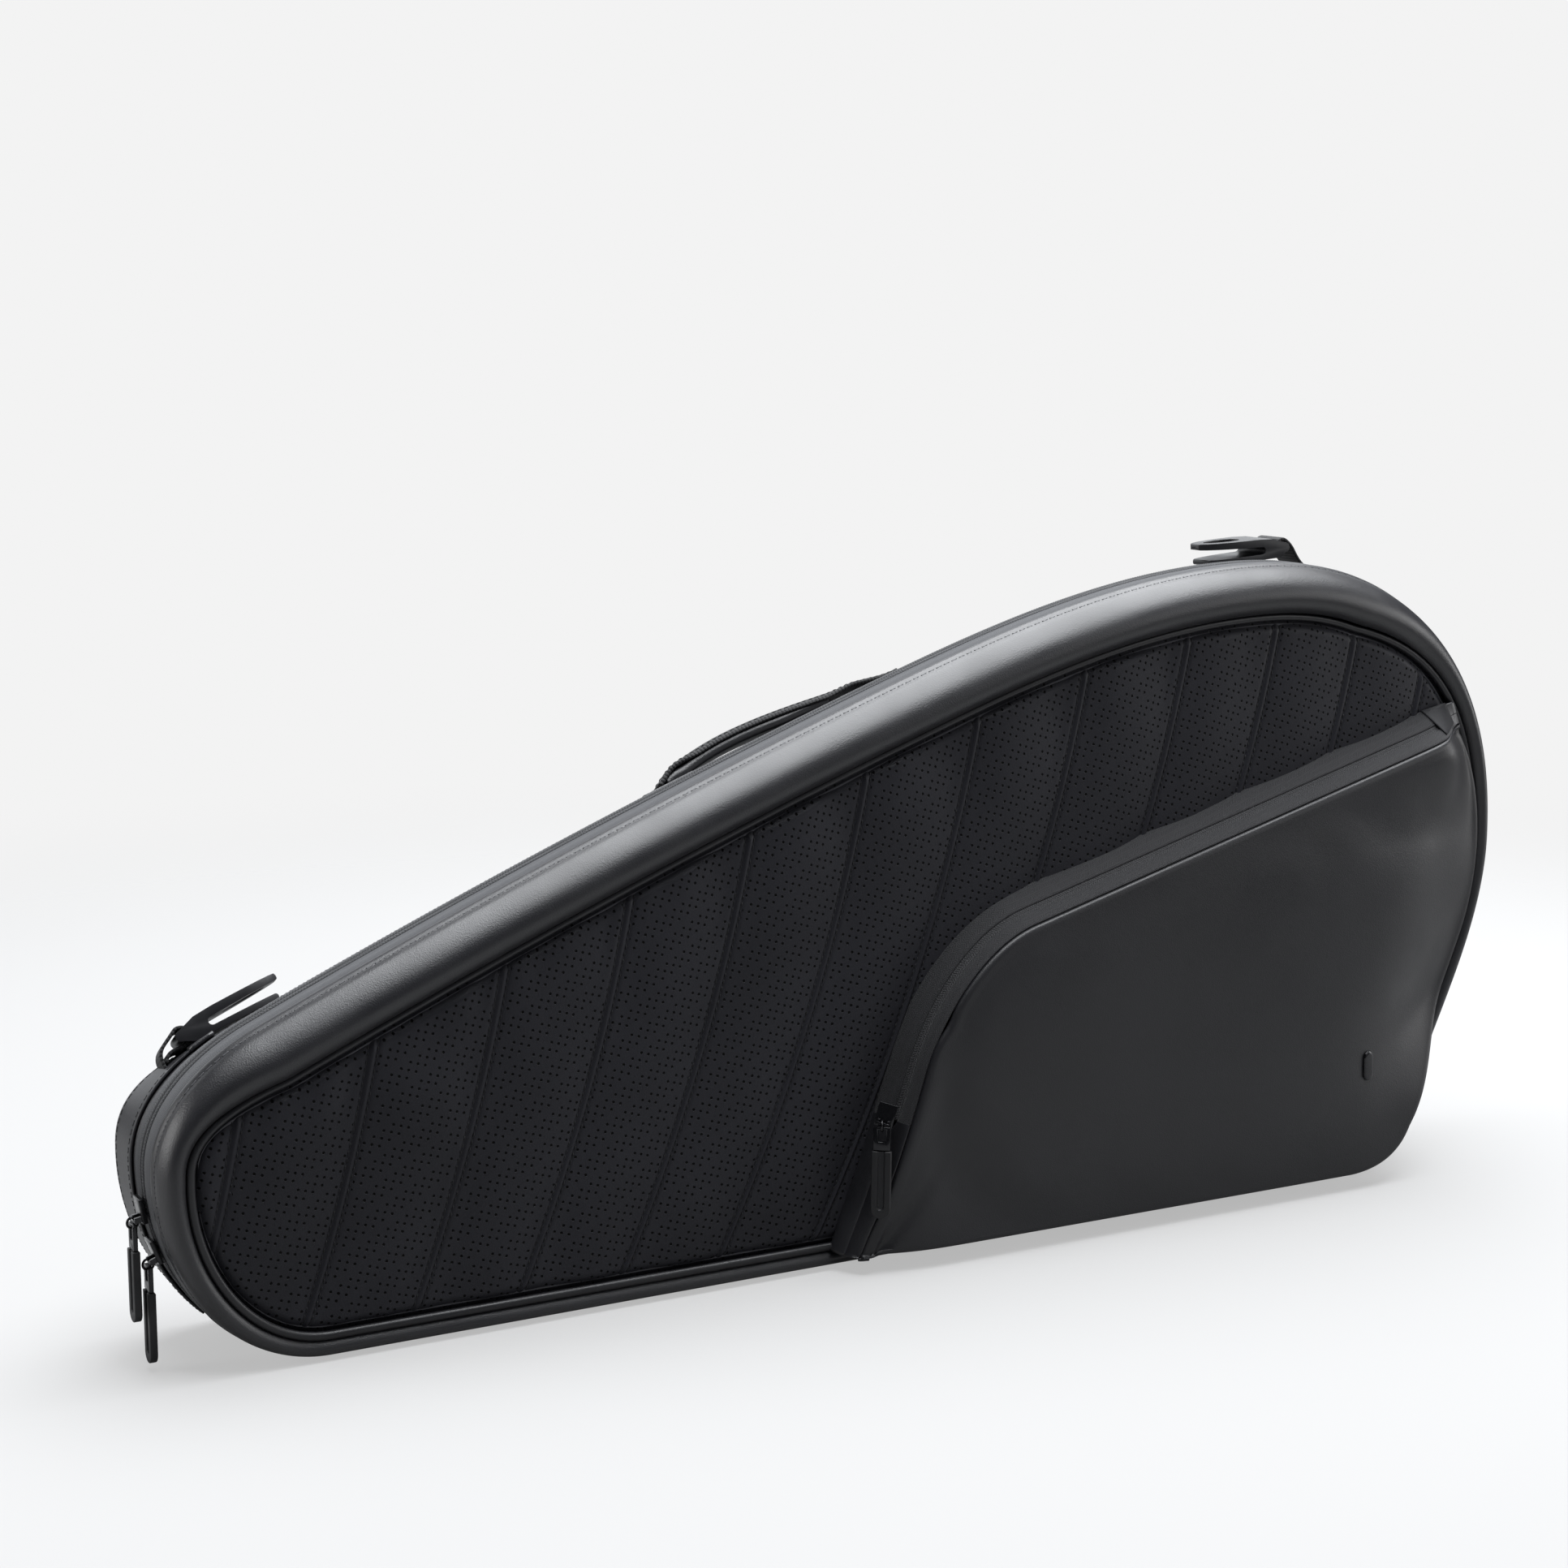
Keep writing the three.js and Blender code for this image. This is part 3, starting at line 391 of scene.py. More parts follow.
def perforated(name, color):
    """Leather with a square lattice of small holes, every fourth left out, shifting by one a row; each hole
    is painted black as painted shade.
    """
    s, normal = leather(name, color, roughness=0.5, grain=0.04, specular=0.2)
    place = s.place()
    pitch = HOLE_PITCH * MM
    along = (math.cos(HOLE_ROW_ANGLE) / pitch, 0, math.sin(HOLE_ROW_ANGLE) / pitch)
    across = (-along[2], 0, along[0])
    u, v = s.dot(place, along), s.dot(place, across)
    k, j = s.math("FLOOR", u), s.math("FLOOR", v)
    fu = s.math("SUBTRACT", s.math("SUBTRACT", u, k), 0.5)
    fv = s.math("SUBTRACT", s.math("SUBTRACT", v, j), 0.5)
    radius = s.math("SQRT", s.math("ADD", s.math("MULTIPLY", fu, fu), s.math("MULTIPLY", fv, fv)))
    hole = s.ramp(s.math("MULTIPLY", radius, HOLE_PITCH), HOLE_EDGE[0], HOLE_EDGE[1], 1.0, 0.0)
    turn = s.math("FLOORED_MODULO", s.math("SUBTRACT", k, j), 4.0)
    hole = s.math("MULTIPLY", hole, s.math("LESS_THAN", turn, 2.5))
    from_seam = s.node("ShaderNodeAttribute", {"attribute_name": "seam"}).outputs["Fac"]
    hole = s.math("MULTIPLY", hole, s.math("GREATER_THAN", from_seam, HOLE_FROM_SEAM))
    base = s.principled.inputs["Base Color"].links[0].from_socket
    # Holes painted black: painted shade inside each hole, which the mesh doesn't cut.
    s.link(s.mix_color(hole, base, (0.0, 0.0, 0.0)), "Base Color")
    s.link(s.bump(s.math("MULTIPLY", hole, -1.0), 0.5 * MM, 1.0, normal), "Normal")
    rough = s.principled.inputs["Roughness"].links[0].from_socket
    s.link(s.math("MAXIMUM", rough, s.math("MULTIPLY", hole, 0.95)), "Roughness")
    return s.material


def woven(name, color, pitch, chevron, half_width, depth=0.12, contrast=0.35):
    """Woven tape: slanted threads that turn back at each half width, over a fine cross thread; the colour
    follows the threads' relief, as painted shade between them and painted highlight on them.
    """
    s = Shader(name, color, 0.75, specular=0.4)
    along, across = s.lengths()
    fold = s.math("PINGPONG", across, half_width * MM)
    phase = s.math("ADD", s.math("MULTIPLY", along, 1 / (pitch * MM)), s.math("MULTIPLY", fold, chevron / MM))
    thread = s.ramp(s.math("SINE", s.math("MULTIPLY", phase, 2 * math.pi)), -1.0, 1.0)
    fine = s.math("SINE", s.math("MULTIPLY", across, 2 * math.pi / (0.5 * MM)))
    height = s.math("ADD", thread, s.math("MULTIPLY", fine, 0.15))
    height = s.math("ADD", height, s.math("MULTIPLY", s.noise(2200.0, 2.0), 0.35))
    # Painted shade and highlight: darker between the slanted threads and lighter on them, by the contrast.
    s.link(s.mix_color(thread, tint(color, 1 - contrast), tint(color, 1 + contrast)), "Base Color")
    s.link(s.bump(height, depth * MM, 0.9), "Normal")
    s.set("Sheen Weight", 0.15)
    s.set("Sheen Roughness", 0.5)
    return s.material


def ribbed(name, color, pitch):
    """Webbing: thick ribs across its length with rows of small stitches of thread; the ribs are painted
    lighter on top and darker in the grooves, as painted highlight and shade.
    """
    s = Shader(name, color, 0.7, specular=0.4)
    along, across = s.lengths()
    rib = s.math("ABSOLUTE", s.math("SINE", s.math("MULTIPLY", along, math.pi / (pitch * MM))))
    thread = s.math("ABSOLUTE", s.math("SINE", s.math("MULTIPLY", across, math.pi / (0.9 * MM))))
    height = s.math("ADD", rib, s.math("MULTIPLY", thread, 0.35))
    height = s.math("ADD", height, s.math("MULTIPLY", s.noise(1800.0, 2.0), 0.3))
    # Painted highlight on the rib tops and painted shade in the grooves between them.
    s.link(s.mix_color(rib, tint(color, 0.55), tint(color, 1.25)), "Base Color")
    s.link(s.bump(height, 0.25 * MM, 0.9), "Normal")
    s.set("Sheen Weight", 0.1)
    return s.material


def moulded(name, color, roughness, metallic=0.0, grain=0.03, scale=900.0, coat=0.0):
    """Moulded plastic, rubber or plated metal with a fine surface texture and uneven gloss."""
    s = Shader(name, color, roughness, metallic)
    s.link(s.bump(s.noise(scale, 4.0), grain * MM, 0.5), "Normal")
    s.link(s.ramp(s.noise(60.0, 4.0), 0.3, 0.7, roughness * 0.85, roughness * 1.2), "Roughness")
    s.link(s.mix_color(s.noise(25.0, 3.0), tint(color, 0.8), tint(color, 1.2)), "Base Color")
    s.set("Coat Weight", coat)
    return s.material


BLACK = (0.0118, 0.0118, 0.0142)
LEATHER = leather("leather", BLACK, roughness=0.4, specular=0.75)[0].material
PIPING = leather("piping_leather", tint(BLACK, 0.8), roughness=0.4, grain=0.03)[0].material
PATCH_LEATHER = leather("patch_leather", tint(BLACK, 0.8), roughness=0.6, specular=0.3)[0].material
POCKET_LEATHER = leather("pocket_leather", tint(BLACK, 0.9), roughness=0.42, grain=0.035)[0].material
PERFORATED = perforated("perforated_leather", tint(BLACK, 1.9))
TAPE = woven("zip_tape", (0.045, 0.047, 0.052), pitch=1.1, chevron=0.9, half_width=3.2)
POCKET_TAPE = woven("pocket_zip_tape", (0.016, 0.016, 0.018), 1.1, 0.9, 2.0, contrast=0.2)
COIL_FINE = woven("pocket_zip_coil", (0.022, 0.022, 0.024), pitch=1.3, chevron=0.5, half_width=3.0, depth=0.2)
COIL = woven("zip_coil", (0.03, 0.031, 0.034), pitch=1.5, chevron=0.5, half_width=3.0, depth=0.2)
THREAD = moulded("thread", (0.006, 0.006, 0.007), 0.6, grain=0.05, scale=4000.0)
# The band's stitches get a ten times lighter copy of the thread: a painted highlight for the thread along the
# top-lit band.
BAND_THREAD = moulded("band_thread", (0.06, 0.061, 0.066), 0.35, grain=0.05, scale=4000.0)
WEBBING = ribbed("webbing", (0.012, 0.012, 0.013), pitch=1.9)
METAL = moulded("black_metal", (0.02, 0.02, 0.022), 0.25, metallic=0.85, grain=0.01, coat=0.4)
RUBBER = moulded("puller_rubber", (0.012, 0.012, 0.013), 0.5, grain=0.03)
PLASTIC = moulded("hook_plastic", (0.014, 0.014, 0.016), 0.38, grain=0.02)
LINING = woven("lining", (0.05, 0.052, 0.06), pitch=0.8, chevron=0.0, half_width=5.0)
FOAM = moulded("foam", (0.10, 0.10, 0.11), 0.9, grain=0.3, scale=600.0)


# ------------------------------------------------------------------ stitches
# One stitch: places along it, widths and lifts, as shares of its length and radius.
STITCH_PROFILE = ((-0.5, 0.2, -0.6), (-0.36, 0.9, 0.1), (0.0, 1.0, 0.55), (0.36, 0.9, 0.1), (0.5, 0.2, -0.6))
STITCH_SIDES = 6
# Pitch, length and radius of the thread, in mm.
BAND_STITCH, REAR_STITCH, PATCH_STITCH = (4.6, 3.3, 0.45), (4.6, 3.3, 0.4), (4.0, 2.8, 0.36)
QUILT_STITCH, HANDLE_STITCH = (3.4, 2.4, 0.3), (3.4, 2.5, 0.3)


def stitches(name, line, normals, size, body, thread=THREAD):
    """Short raised threads along a line on a surface, in one mesh."""
    pitch, length, radius = size
    steps = np.linalg.norm(np.diff(line, axis=0), axis=1)
    along = np.concatenate([[0], np.cumsum(steps)])
    count = max(2, int(along[-1] / pitch))
    where = (np.arange(count) + 0.5) * along[-1] / count

    def at(values, distance):
        return np.stack([np.interp(distance, along, values[:, i]) for i in range(3)], 1)

    centre = at(line, where)
    tangent = at(line, where + 0.5) - at(line, where - 0.5)
    tangent /= np.linalg.norm(tangent, axis=1, keepdims=True)
    up = at(normals, where)
    up -= (up * tangent).sum(1, keepdims=True) * tangent
    up /= np.linalg.norm(up, axis=1, keepdims=True)
    side = np.cross(tangent, up)
    rings = []
    for place, width, lift in STITCH_PROFILE:
        for k in range(STITCH_SIDES):
            angle = 2 * math.pi * k / STITCH_SIDES
            offset = side * math.cos(angle) * radius * width
            offset = offset + up * radius * (lift + math.sin(angle) * width * 0.8)
            rings.append(centre + tangent * place * length + offset)
    points = np.stack(rings, 1)
    faces = []
    last = (len(STITCH_PROFILE) - 1) * STITCH_SIDES
    for r in range(len(STITCH_PROFILE) - 1):
        for k in range(STITCH_SIDES):
            a, b = r * STITCH_SIDES + k, r * STITCH_SIDES + (k + 1) % STITCH_SIDES
            faces.append([a, a + STITCH_SIDES, b + STITCH_SIDES, b])
    ends = [list(range(STITCH_SIDES)), [last + k for k in reversed(range(STITCH_SIDES))]]
    size = len(STITCH_PROFILE) * STITCH_SIDES
    every = [[i * size + k for k in f] for i in range(count) for f in faces + ends]
    obj = mesh_object(name, points, every)
    face_outwards(obj.data)
    return dress(obj, thread, body)


def stitch_loop(name, surface, normals, at, size, body, thread=THREAD):
    """Stitches along one closed line of a surface."""
    line, up = (np.vstack([part[:, at], part[:1, at]]) for part in (surface, normals))
    stitches(name, line, up, size, body, thread)


def section_normals(points):
    """Normals of a loft's surface, along one line of its section points."""
    along = np.gradient(points, axis=0)
    across = np.gradient(points, axis=1)
    normal = np.cross(along, across)
    return normal / np.maximum(np.linalg.norm(normal, axis=2, keepdims=True), 1e-9)


# ------------------------------------------------------------------ shell
def offset_section(inset, y, thickness):
    """The same section line, moved to its inner side by the thickness."""
    d_inset = np.gradient(inset, axis=1)
    d_y = np.gradient(y, axis=1)
    length = np.hypot(d_inset, d_y)
    return inset - d_y / length * thickness, y + d_inset / length * thickness


def closed_section(inset, y, thickness, roll=5):
    """An outer line with rounded ends and an inner line, as one closed section."""
    inner_i, inner_y = offset_section(inset, y, thickness)

    def rounded(a, b, forward):
        middle = (a + b) / 2
        radial = (a - b) / 2
        angles = np.linspace(0, math.pi, roll + 2)[1:-1]
        ahead = np.stack([-radial[..., 1], radial[..., 0]], -1) * forward
        return np.stack([middle + radial * math.cos(t) + ahead * math.sin(t) for t in angles], 1)

    outer = np.stack([inset, y], -1)
    inner = np.stack([inner_i, inner_y], -1)[:, ::-1]
    tail = rounded(outer[:, -1], inner[:, 0], 1.0)
    head = rounded(inner[:, -1], outer[:, 0], 1.0)
    ring = np.concatenate([outer, tail, inner, head], 1)
    return ring[..., 0], ring[..., 1]


def slow_wave(s, total, waves, seed):
    """A gentle closed ripple along a run: a few sines with fixed phases."""
    draw = np.random.default_rng(seed)
    ripple = np.zeros_like(s)
    for k in waves:
        ripple += np.sin(2 * math.pi * k * s / total + draw.uniform(0, 2 * math.pi)) / math.sqrt(k)
    return ripple / len(waves)


BAND_ANGLES = np.linspace(math.pi / 2, 0, 26)
BAND_STITCH_ANGLE = 1.36


def band_lines(run):
    """Outer line of the padded band's section, from the zip edge over to the panel."""
    width, lip = column(band_width(run)), column(edge(run) + 0.2)
    angle = BAND_ANGLES[None]
    total = run.s[-1] + 1
    puff = BAND_PUFF + column(0.5 * slow_wave(run.s, total, (9, 14, 23, 31), 4))
    inset = lip + (width - lip) * (1 - np.sin(angle))
    y = STITCH_Y + (PANEL_Y - STITCH_Y) * np.cos(angle) - puff * np.sin(2 * angle)
    share, roll = 1 - 2 * angle / math.pi, column(np.maximum(upness(run), 0.45 * (1 - facing_down)))
    weights = ((1 - share) ** 3, 3 * (1 - share) ** 2 * share, 3 * (1 - share) * share**2, share**3)
    rolled_in = lip + (width - lip) * sum(w * x for w, (x, _) in zip(weights, BAND_ROLL))
    rolled_y = sum(w * y_at for w, (_, y_at) in zip(weights, BAND_ROLL)) - puff + BAND_PUFF
    inset, y = inset + (rolled_in - inset) * roll, y + (rolled_y - y) * roll
    groove = 0.45 * bump_at(angle, BAND_STITCH_ANGLE, 0.07)
    return inset + groove * np.sin(angle), y + groove * np.cos(angle)


def build_band():
    inset, y = band_lines(outline)
    surface = outline.place(inset, y)
    ring_inset, ring_y = closed_section(inset, y, SKIN)
    band = grid_object("band", outline.place(ring_inset, ring_y), closed_u=True, closed_v=True)
    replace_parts(dress(band, LEATHER, "front_cover"), "front_band")
    normals = -section_normals(surface)
    stitch_at = int(np.argmin(abs(BAND_ANGLES - BAND_STITCH_ANGLE)))
    stitch_loop("band_stitching", surface, normals, stitch_at, BAND_STITCH, "front_cover", BAND_THREAD)


def tube(name, run, inset, y, radius, material, body, sides=14):
    angle = np.linspace(0, 2 * math.pi, sides, endpoint=False)[None]
    ring = run.place(column(inset) + radius * np.cos(angle), column(y) + radius * np.sin(angle))
    obj = grid_object(name, ring, closed_u=run.closed, closed_v=True, caps=not run.closed)
    return dress(obj, material, body)


def build_piping():
    inset = band_width(outline) + PIPING_R + 0.3
    y = PANEL_Y + 0.6 + 2.6 * upness(outline)
    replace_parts(tube("piping", outline, inset, y, PIPING_R, PIPING, "front_cover"), "front_piping")


def strip_object(name, run, insets, thickness, front_y, back_y, crown, material, slot, body, node):
    """A flat strip round the edge, slightly crowned, with rounded sides."""
    across = np.linspace(0, 1, 9)[None]
    y = front_y + (back_y - front_y) * across + 0 * column(run.s)
    outer = column(insets[0]) * (1 - across) + column(insets[1]) * across
    outer = outer - crown * np.sin(math.pi * across)
    ring_inset, ring_y = closed_section(outer[:, ::-1], y[:, ::-1], thickness, roll=3)
    obj = grid_object(name, run.place(ring_inset, ring_y), closed_v=True, caps=True)
    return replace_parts(dress(obj, material, body), node)


ZIP_FROM = nearest(outline, LENGTH_CENTRE + 335, ZIP_END_RIGHT)
ZIP_TO = nearest(outline, LENGTH_CENTRE - 346, ZIP_END_LEFT)
TEETH_PITCH = 1.5


def build_zip():
    zip_run = outline.part(between(outline, ZIP_FROM, ZIP_TO))
    base_run = outline.part(between(outline, ZIP_TO, ZIP_FROM))
    tape = edge(zip_run) + 0.4
    low = gusset_start(zip_run) + 0.4
    for half, body, front_y, back_y, insets in (
        ("front", "front_cover", STITCH_Y + 0.3, -COIL_HALF - 0.2, (tape, tape)),
        ("rear", "root", COIL_HALF + 0.2, TAPE_BACK_Y - 0.3, (tape, low)),
    ):
        strip_object(
            f"{half}_tape", zip_run, insets, 0.9, front_y, back_y, 0.3,
            TAPE, "zip_tape", body, f"{half}_zip_tape",
        )
        side = -1 if half == "front" else 1
        build_teeth(f"{half}_coil", zip_run, side, body, f"{half}_zip_coil")
        ends = (STITCH_Y + 0.3, -0.3) if half == "front" else (0.3, TAPE_BACK_Y - 0.3)
        strip_object(
            f"{half}_base", base_run, (edge(base_run),) * 2, SKIN - 0.4, *ends, 0.0,
            LEATHER, "leather", body, f"{half}_base_strip",
        )


def build_teeth(name, run, side, body, node):
    """One half of the closed coil: a rounded cord with a slanted rib for each turn."""
    count = int(run.s[-1] / TEETH_PITCH) * 4
    fine = Run(resample(run.p, count))
    across = np.linspace(0, 1, 7)[None]
    y = side * (0.16 + (COIL_HALF - 0.25) * across) + 0 * column(fine.s)
    phase = column(fine.s) / TEETH_PITCH + 0.55 * across
    rib = 0.16 * np.cos(2 * math.pi * phase) * np.sin(math.pi * np.clip(across * 1.1, 0, 1))
    outer = column(edge(fine) + 0.35) - 0.45 * np.sin(math.pi * across) ** 0.6 - rib
    inner = outer[:, ::-1] * 0 + column(edge(fine) + 2.2)
    inset = np.concatenate([outer, inner[:, :2]], 1)
    depth = np.concatenate([y, y[:, [-1, 0]]], 1)
    obj = grid_object(name, fine.place(inset, depth), closed_v=True, caps=True)
    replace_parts(dress(obj, COIL, body), node)


# ------------------------------------------------------------------ rear half
GUSSET_BACK_Y = BACK_Y - 8
GUSSET_WAIST_Y = (TAPE_BACK_Y + GUSSET_BACK_Y) / 2


def gusset_inset(run, y):
    """The rear gusset's outer surface: it falls away faster behind its waist."""
    start = column(gusset_start(run))
    fall = column(rear_inset(run)) - start
    half = GUSSET_WAIST_Y - TAPE_BACK_Y
    t = (y - TAPE_BACK_Y) / half
    knee = np.log1p(np.exp((t - 1) * 6)) / 6
    return start + fall * (0.45 * t + 0.1 * knee)


def build_rear():
    depth = np.linspace(TAPE_BACK_Y, GUSSET_BACK_Y, 16)[None] + 0 * column(outline.s)
    inset = gusset_inset(outline, depth)
    swell = np.sin(math.pi * (depth - TAPE_BACK_Y) / (GUSSET_BACK_Y - TAPE_BACK_Y))
    inset = inset - 0.7 * swell * column(1 - facing_down)
    angle = np.linspace(0.25, math.pi / 2, 6)[None]
    low = inset[:, -1:]
    turn_inset = low + REAR_ROUND * (1 - np.cos(angle))
    turn_y = GUSSET_BACK_Y + REAR_ROUND * np.sin(angle)
    outer_i = np.concatenate([inset, turn_inset], 1)
    outer_y = np.concatenate([depth, turn_y + 0 * low], 1)
    ring_i, ring_y = closed_section(outer_i[:, ::-1], outer_y[:, ::-1], SKIN)
    gusset = grid_object("rear_shell", outline.place(ring_i, ring_y), closed_u=True, closed_v=True)
    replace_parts(dress(gusset, LEATHER, "root"), "rear_gusset")
    surface = outline.place(outer_i, outer_y)
    normals = section_normals(surface)
    stitch_loop("rear_zip_stitching", surface, normals, 1, REAR_STITCH, "root")
    stitch_loop("rear_edge_stitching", surface, normals, 14, REAR_STITCH, "root")
    piping_inset = rear_inset(outline) + REAR_ROUND + PIPING_R + 0.3
    piping_y = np.full(STATION_COUNT, BACK_Y - PIPING_R * 0.87 - 1.2)
    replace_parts(tube("rear_cord", outline, piping_inset, piping_y, PIPING_R, PIPING, "root"), "rear_piping")


# ------------------------------------------------------------------ flat panels inside an outline
def inside(points, loop):
    """Whether each point of X and Z lies inside the closed loop."""
    x, z = points[..., 0, None], points[..., 1, None]
    a, b = loop, np.roll(loop, -1, 0)
    crosses = (a[:, 1] > z) != (b[:, 1] > z)
    slope = np.where(a[:, 1] == b[:, 1], 1e-9, b[:, 1] - a[:, 1])
    return (crosses & (x < a[:, 0] + (z - a[:, 1]) * (b[:, 0] - a[:, 0]) / slope)).sum(-1) % 2 == 1


def distance_to(points, loop):
    """Distance from each point of X and Z to the closed loop."""
    a, b = loop, np.roll(loop, -1, 0)
    step = b - a
    best = np.full(points.shape[:-1], 1e9)
    for start, along in zip(a, step):
        t = np.clip(((points - start) @ along) / (along @ along), 0, 1)
        best = np.minimum(best, np.linalg.norm(points - start - t[..., None] * along, axis=-1))
    return best


def clipped_columns(place, columns, low, high, loop, rows):
    """Points down each column between the two places where it meets the loop."""
    scan = np.linspace(low, high, 400)
    within = inside(place(column(columns), scan[None]), loop)
    keep = within.any(1)
    columns, within = columns[keep], within[keep]
    first, last = within.argmax(1), len(scan) - 1 - within[:, ::-1].argmax(1)

    def refine(outer, inner):
        for _ in range(14):
            middle = (outer + inner) / 2
            is_in = inside(place(columns, middle), loop)
            outer, inner = np.where(is_in, outer, middle), np.where(is_in, middle, inner)
        return inner

    top = refine(scan[np.maximum(first - 1, 0)], scan[first])
    bottom = refine(scan[np.minimum(last + 1, len(scan) - 1)], scan[last])
    return columns, column(top) + column(bottom - top) * rows[None]


def cosine_rows(count, mix=0.5):
    t = np.linspace(0, 1, count)
    return (1 - mix) * t + mix * (1 - np.cos(math.pi * t)) / 2


def simulate(points, pinned, pressure, cap):
    """Cloth simulation of a sheet of points, held where pinned; gives each point's move, capped."""
    nu, nv = points.shape[:2]
    sheet = grid_object("cloth", points)
    group = sheet.vertex_groups.new(name="pin")
    group.add(np.flatnonzero(pinned.ravel()).tolist(), 1.0, "REPLACE")
    face_forward(sheet)
    cloth = sheet.modifiers.new("cloth", "CLOTH")
    cloth.settings.vertex_group_mass = "pin"
    cloth.settings.quality = 6
    cloth.settings.mass = 0.3
    cloth.settings.tension_stiffness = 12
    cloth.settings.compression_stiffness = 12
    cloth.settings.shear_stiffness = 5
    cloth.settings.bending_stiffness = 0.5
    cloth.settings.use_pressure = True
    cloth.settings.uniform_pressure_force = pressure
    cloth.settings.effector_weights.gravity = 0
    cloth.settings.shrink_min = -0.01
    cloth.collision_settings.use_collision = False
    for step in range(1, 21):
        bpy.context.scene.frame_set(step)
    done = sheet.evaluated_get(bpy.context.evaluated_depsgraph_get()).to_mesh()
    moved = np.empty(nu * nv * 3)
    done.vertices.foreach_get("co", moved)
    move = moved.reshape(nu, nv, 3) / MM - points
    bpy.data.objects.remove(sheet)
    bpy.context.scene.frame_set(1)
    size = np.linalg.norm(move, axis=2, keepdims=True)
    return move * np.minimum(1, cap / np.maximum(size, 1e-9))


def calm(values, axis, reach):
    """Evens out short waves along an axis, with a window of so many samples to each side."""
    window = np.hanning(2 * reach + 3)[1:-1]
    window /= window.sum()
    padded = np.pad(values, [(reach, reach) if k == axis else (0, 0) for k in (0, 1)], mode="edge")
    return np.apply_along_axis(np.convolve, axis, padded, window, mode="valid")


def smooth_through(x, values, where):
    """A smooth curve through samples along the first axis."""
    slope = np.gradient(values, x, axis=0)
    i = np.clip(np.searchsorted(x, where) - 1, 0, len(x) - 2)
    span = x[i + 1] - x[i]
    t = ((where - x[i]) / span).reshape(-1, *[1] * (values.ndim - 1))
    span = span.reshape(t.shape)
    ease = t * t * (3 - 2 * t)
    curve = values[i] * (1 - ease) + values[i + 1] * ease
    return curve + span * (t * (1 - t) ** 2 * slope[i] - t * t * (1 - t) * slope[i + 1])


# ------------------------------------------------------------------ quilted panel
SEAM_START = -332.5
SEAM_STEPS = np.array([63.0] * 8 + [56.0, 52.0, 47.0])
SEAM_LEAN, SEAM_BEND = 0.19, 0.00067
SEAM_X = SEAM_START + np.concatenate([[0], np.cumsum(SEAM_STEPS)])
RIDGE_HEIGHT, RIDGE_WIDTH = 1.15, 1.35
SEAM_STITCH = 2.3  # from the middle of the ridge to each stitch line
PANEL_EDGE_IN = 2.2  # how far inside the band's edge the panel's edge lies
PANEL_SCAN = (-70, 330)  # depths below the panel's upper edge between which its edges are sought
QUILT_PRESSURE, QUILT_CAP = 3.0, 3.4  # the cloth's pressure, and the most that it may swell


def panel_loop():
    inset = band_width(outline) + PANEL_EDGE_IN
    return outline.p - outline.n * column(inset)


def seam_tops(loop):
    """Where each seam leaves the panel's upper edge."""
    upper = loop[outline.n[:, 1] > 0]
    order = np.argsort(upper[:, 0])
    return np.interp(SEAM_X, upper[order, 0], upper[order, 1])


def build_panel():
    loop = panel_loop()
    number = np.arange(len(SEAM_X))
    top_z = seam_tops(loop)
    wide = np.concatenate([[SEAM_STEPS[0]], SEAM_STEPS, [SEAM_STEPS[-1]]])
    beyond = SEAM_X[-1] + wide[-1] * np.array([1, 2])
    seam_x = np.concatenate([[SEAM_X[0] - wide[0]], SEAM_X, beyond])
    seam_z = np.concatenate([[top_z[0] - 30], top_z, [top_z[-1] - 30, top_z[-1] - 70]])
    seam_c = np.concatenate([[-1], number, [len(SEAM_X), len(SEAM_X) + 1]])

    def place(c, h):
        """The point at a depth h below the top of the column c, counted in seams."""
        lean = SEAM_LEAN * h + SEAM_BEND * np.maximum(h, 0) ** 2
        x = np.interp(c, seam_c, seam_x) - lean
        return np.stack(np.broadcast_arrays(x, np.interp(c, seam_c, seam_z) - h), -1)

    def columns_at(steps):
        columns = []
        for i, width in enumerate([*wide, wide[-1]]):
            near = np.array([d for d in steps if d < width / 2])
            columns += [i - 1 + d / width for d in near] + [i - 1 + 0.5]
            columns += [i - d / width for d in near[::-1] if d > 0]
        return np.array(columns)

    fine_steps = (0, 0.5, 1.0, 1.5, 2.0, 2.4, 2.9, 3.6, 5, 7, 10, 13, 17, 21, 26)
    columns = columns_at(fine_steps)
    columns, h = clipped_columns(place, columns, *PANEL_SCAN, loop, cosine_rows(150))
    xz = place(column(columns), h)
    from_edge = distance_to(xz, loop[::2])
    width = np.interp(columns, seam_c[:-1] + 0.5, [*wide, wide[-1]])
    fraction = columns - np.floor(columns)
    from_seam = np.minimum(fraction, 1 - fraction) * width
    puff = panel_puff(place, columns, h, columns_at((0, 3, 9, 18)), loop)
    free = smooth_step(from_edge, 1.5, 7)
    ridge = RIDGE_HEIGHT * bump_at(from_seam, 0, RIDGE_WIDTH)
    groove = 0.5 * bump_at(from_seam, SEAM_STITCH, 0.75)
    tuck = 3.2 * (1 - smooth_step(from_edge, 0, 8))
    y = PANEL_Y + 1.4 + tuck - puff * free - column(ridge - groove) * free
    points = np.stack([xz[..., 0], y, xz[..., 1]], -1)
    panel = grid_object("quilted_panel", points)
    face_forward(panel)
    seam = panel.data.attributes.new("seam", "FLOAT", "POINT")
    distance = np.broadcast_to(column(from_seam), from_edge.shape)
    seam.data.foreach_set("value", distance.ravel().astype(np.float32))
    thicken(panel, 1.6)
    dress(panel, PERFORATED, "front_cover")
    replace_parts(panel, "front_panel")
    seam_stitching(points, from_edge, columns, width)


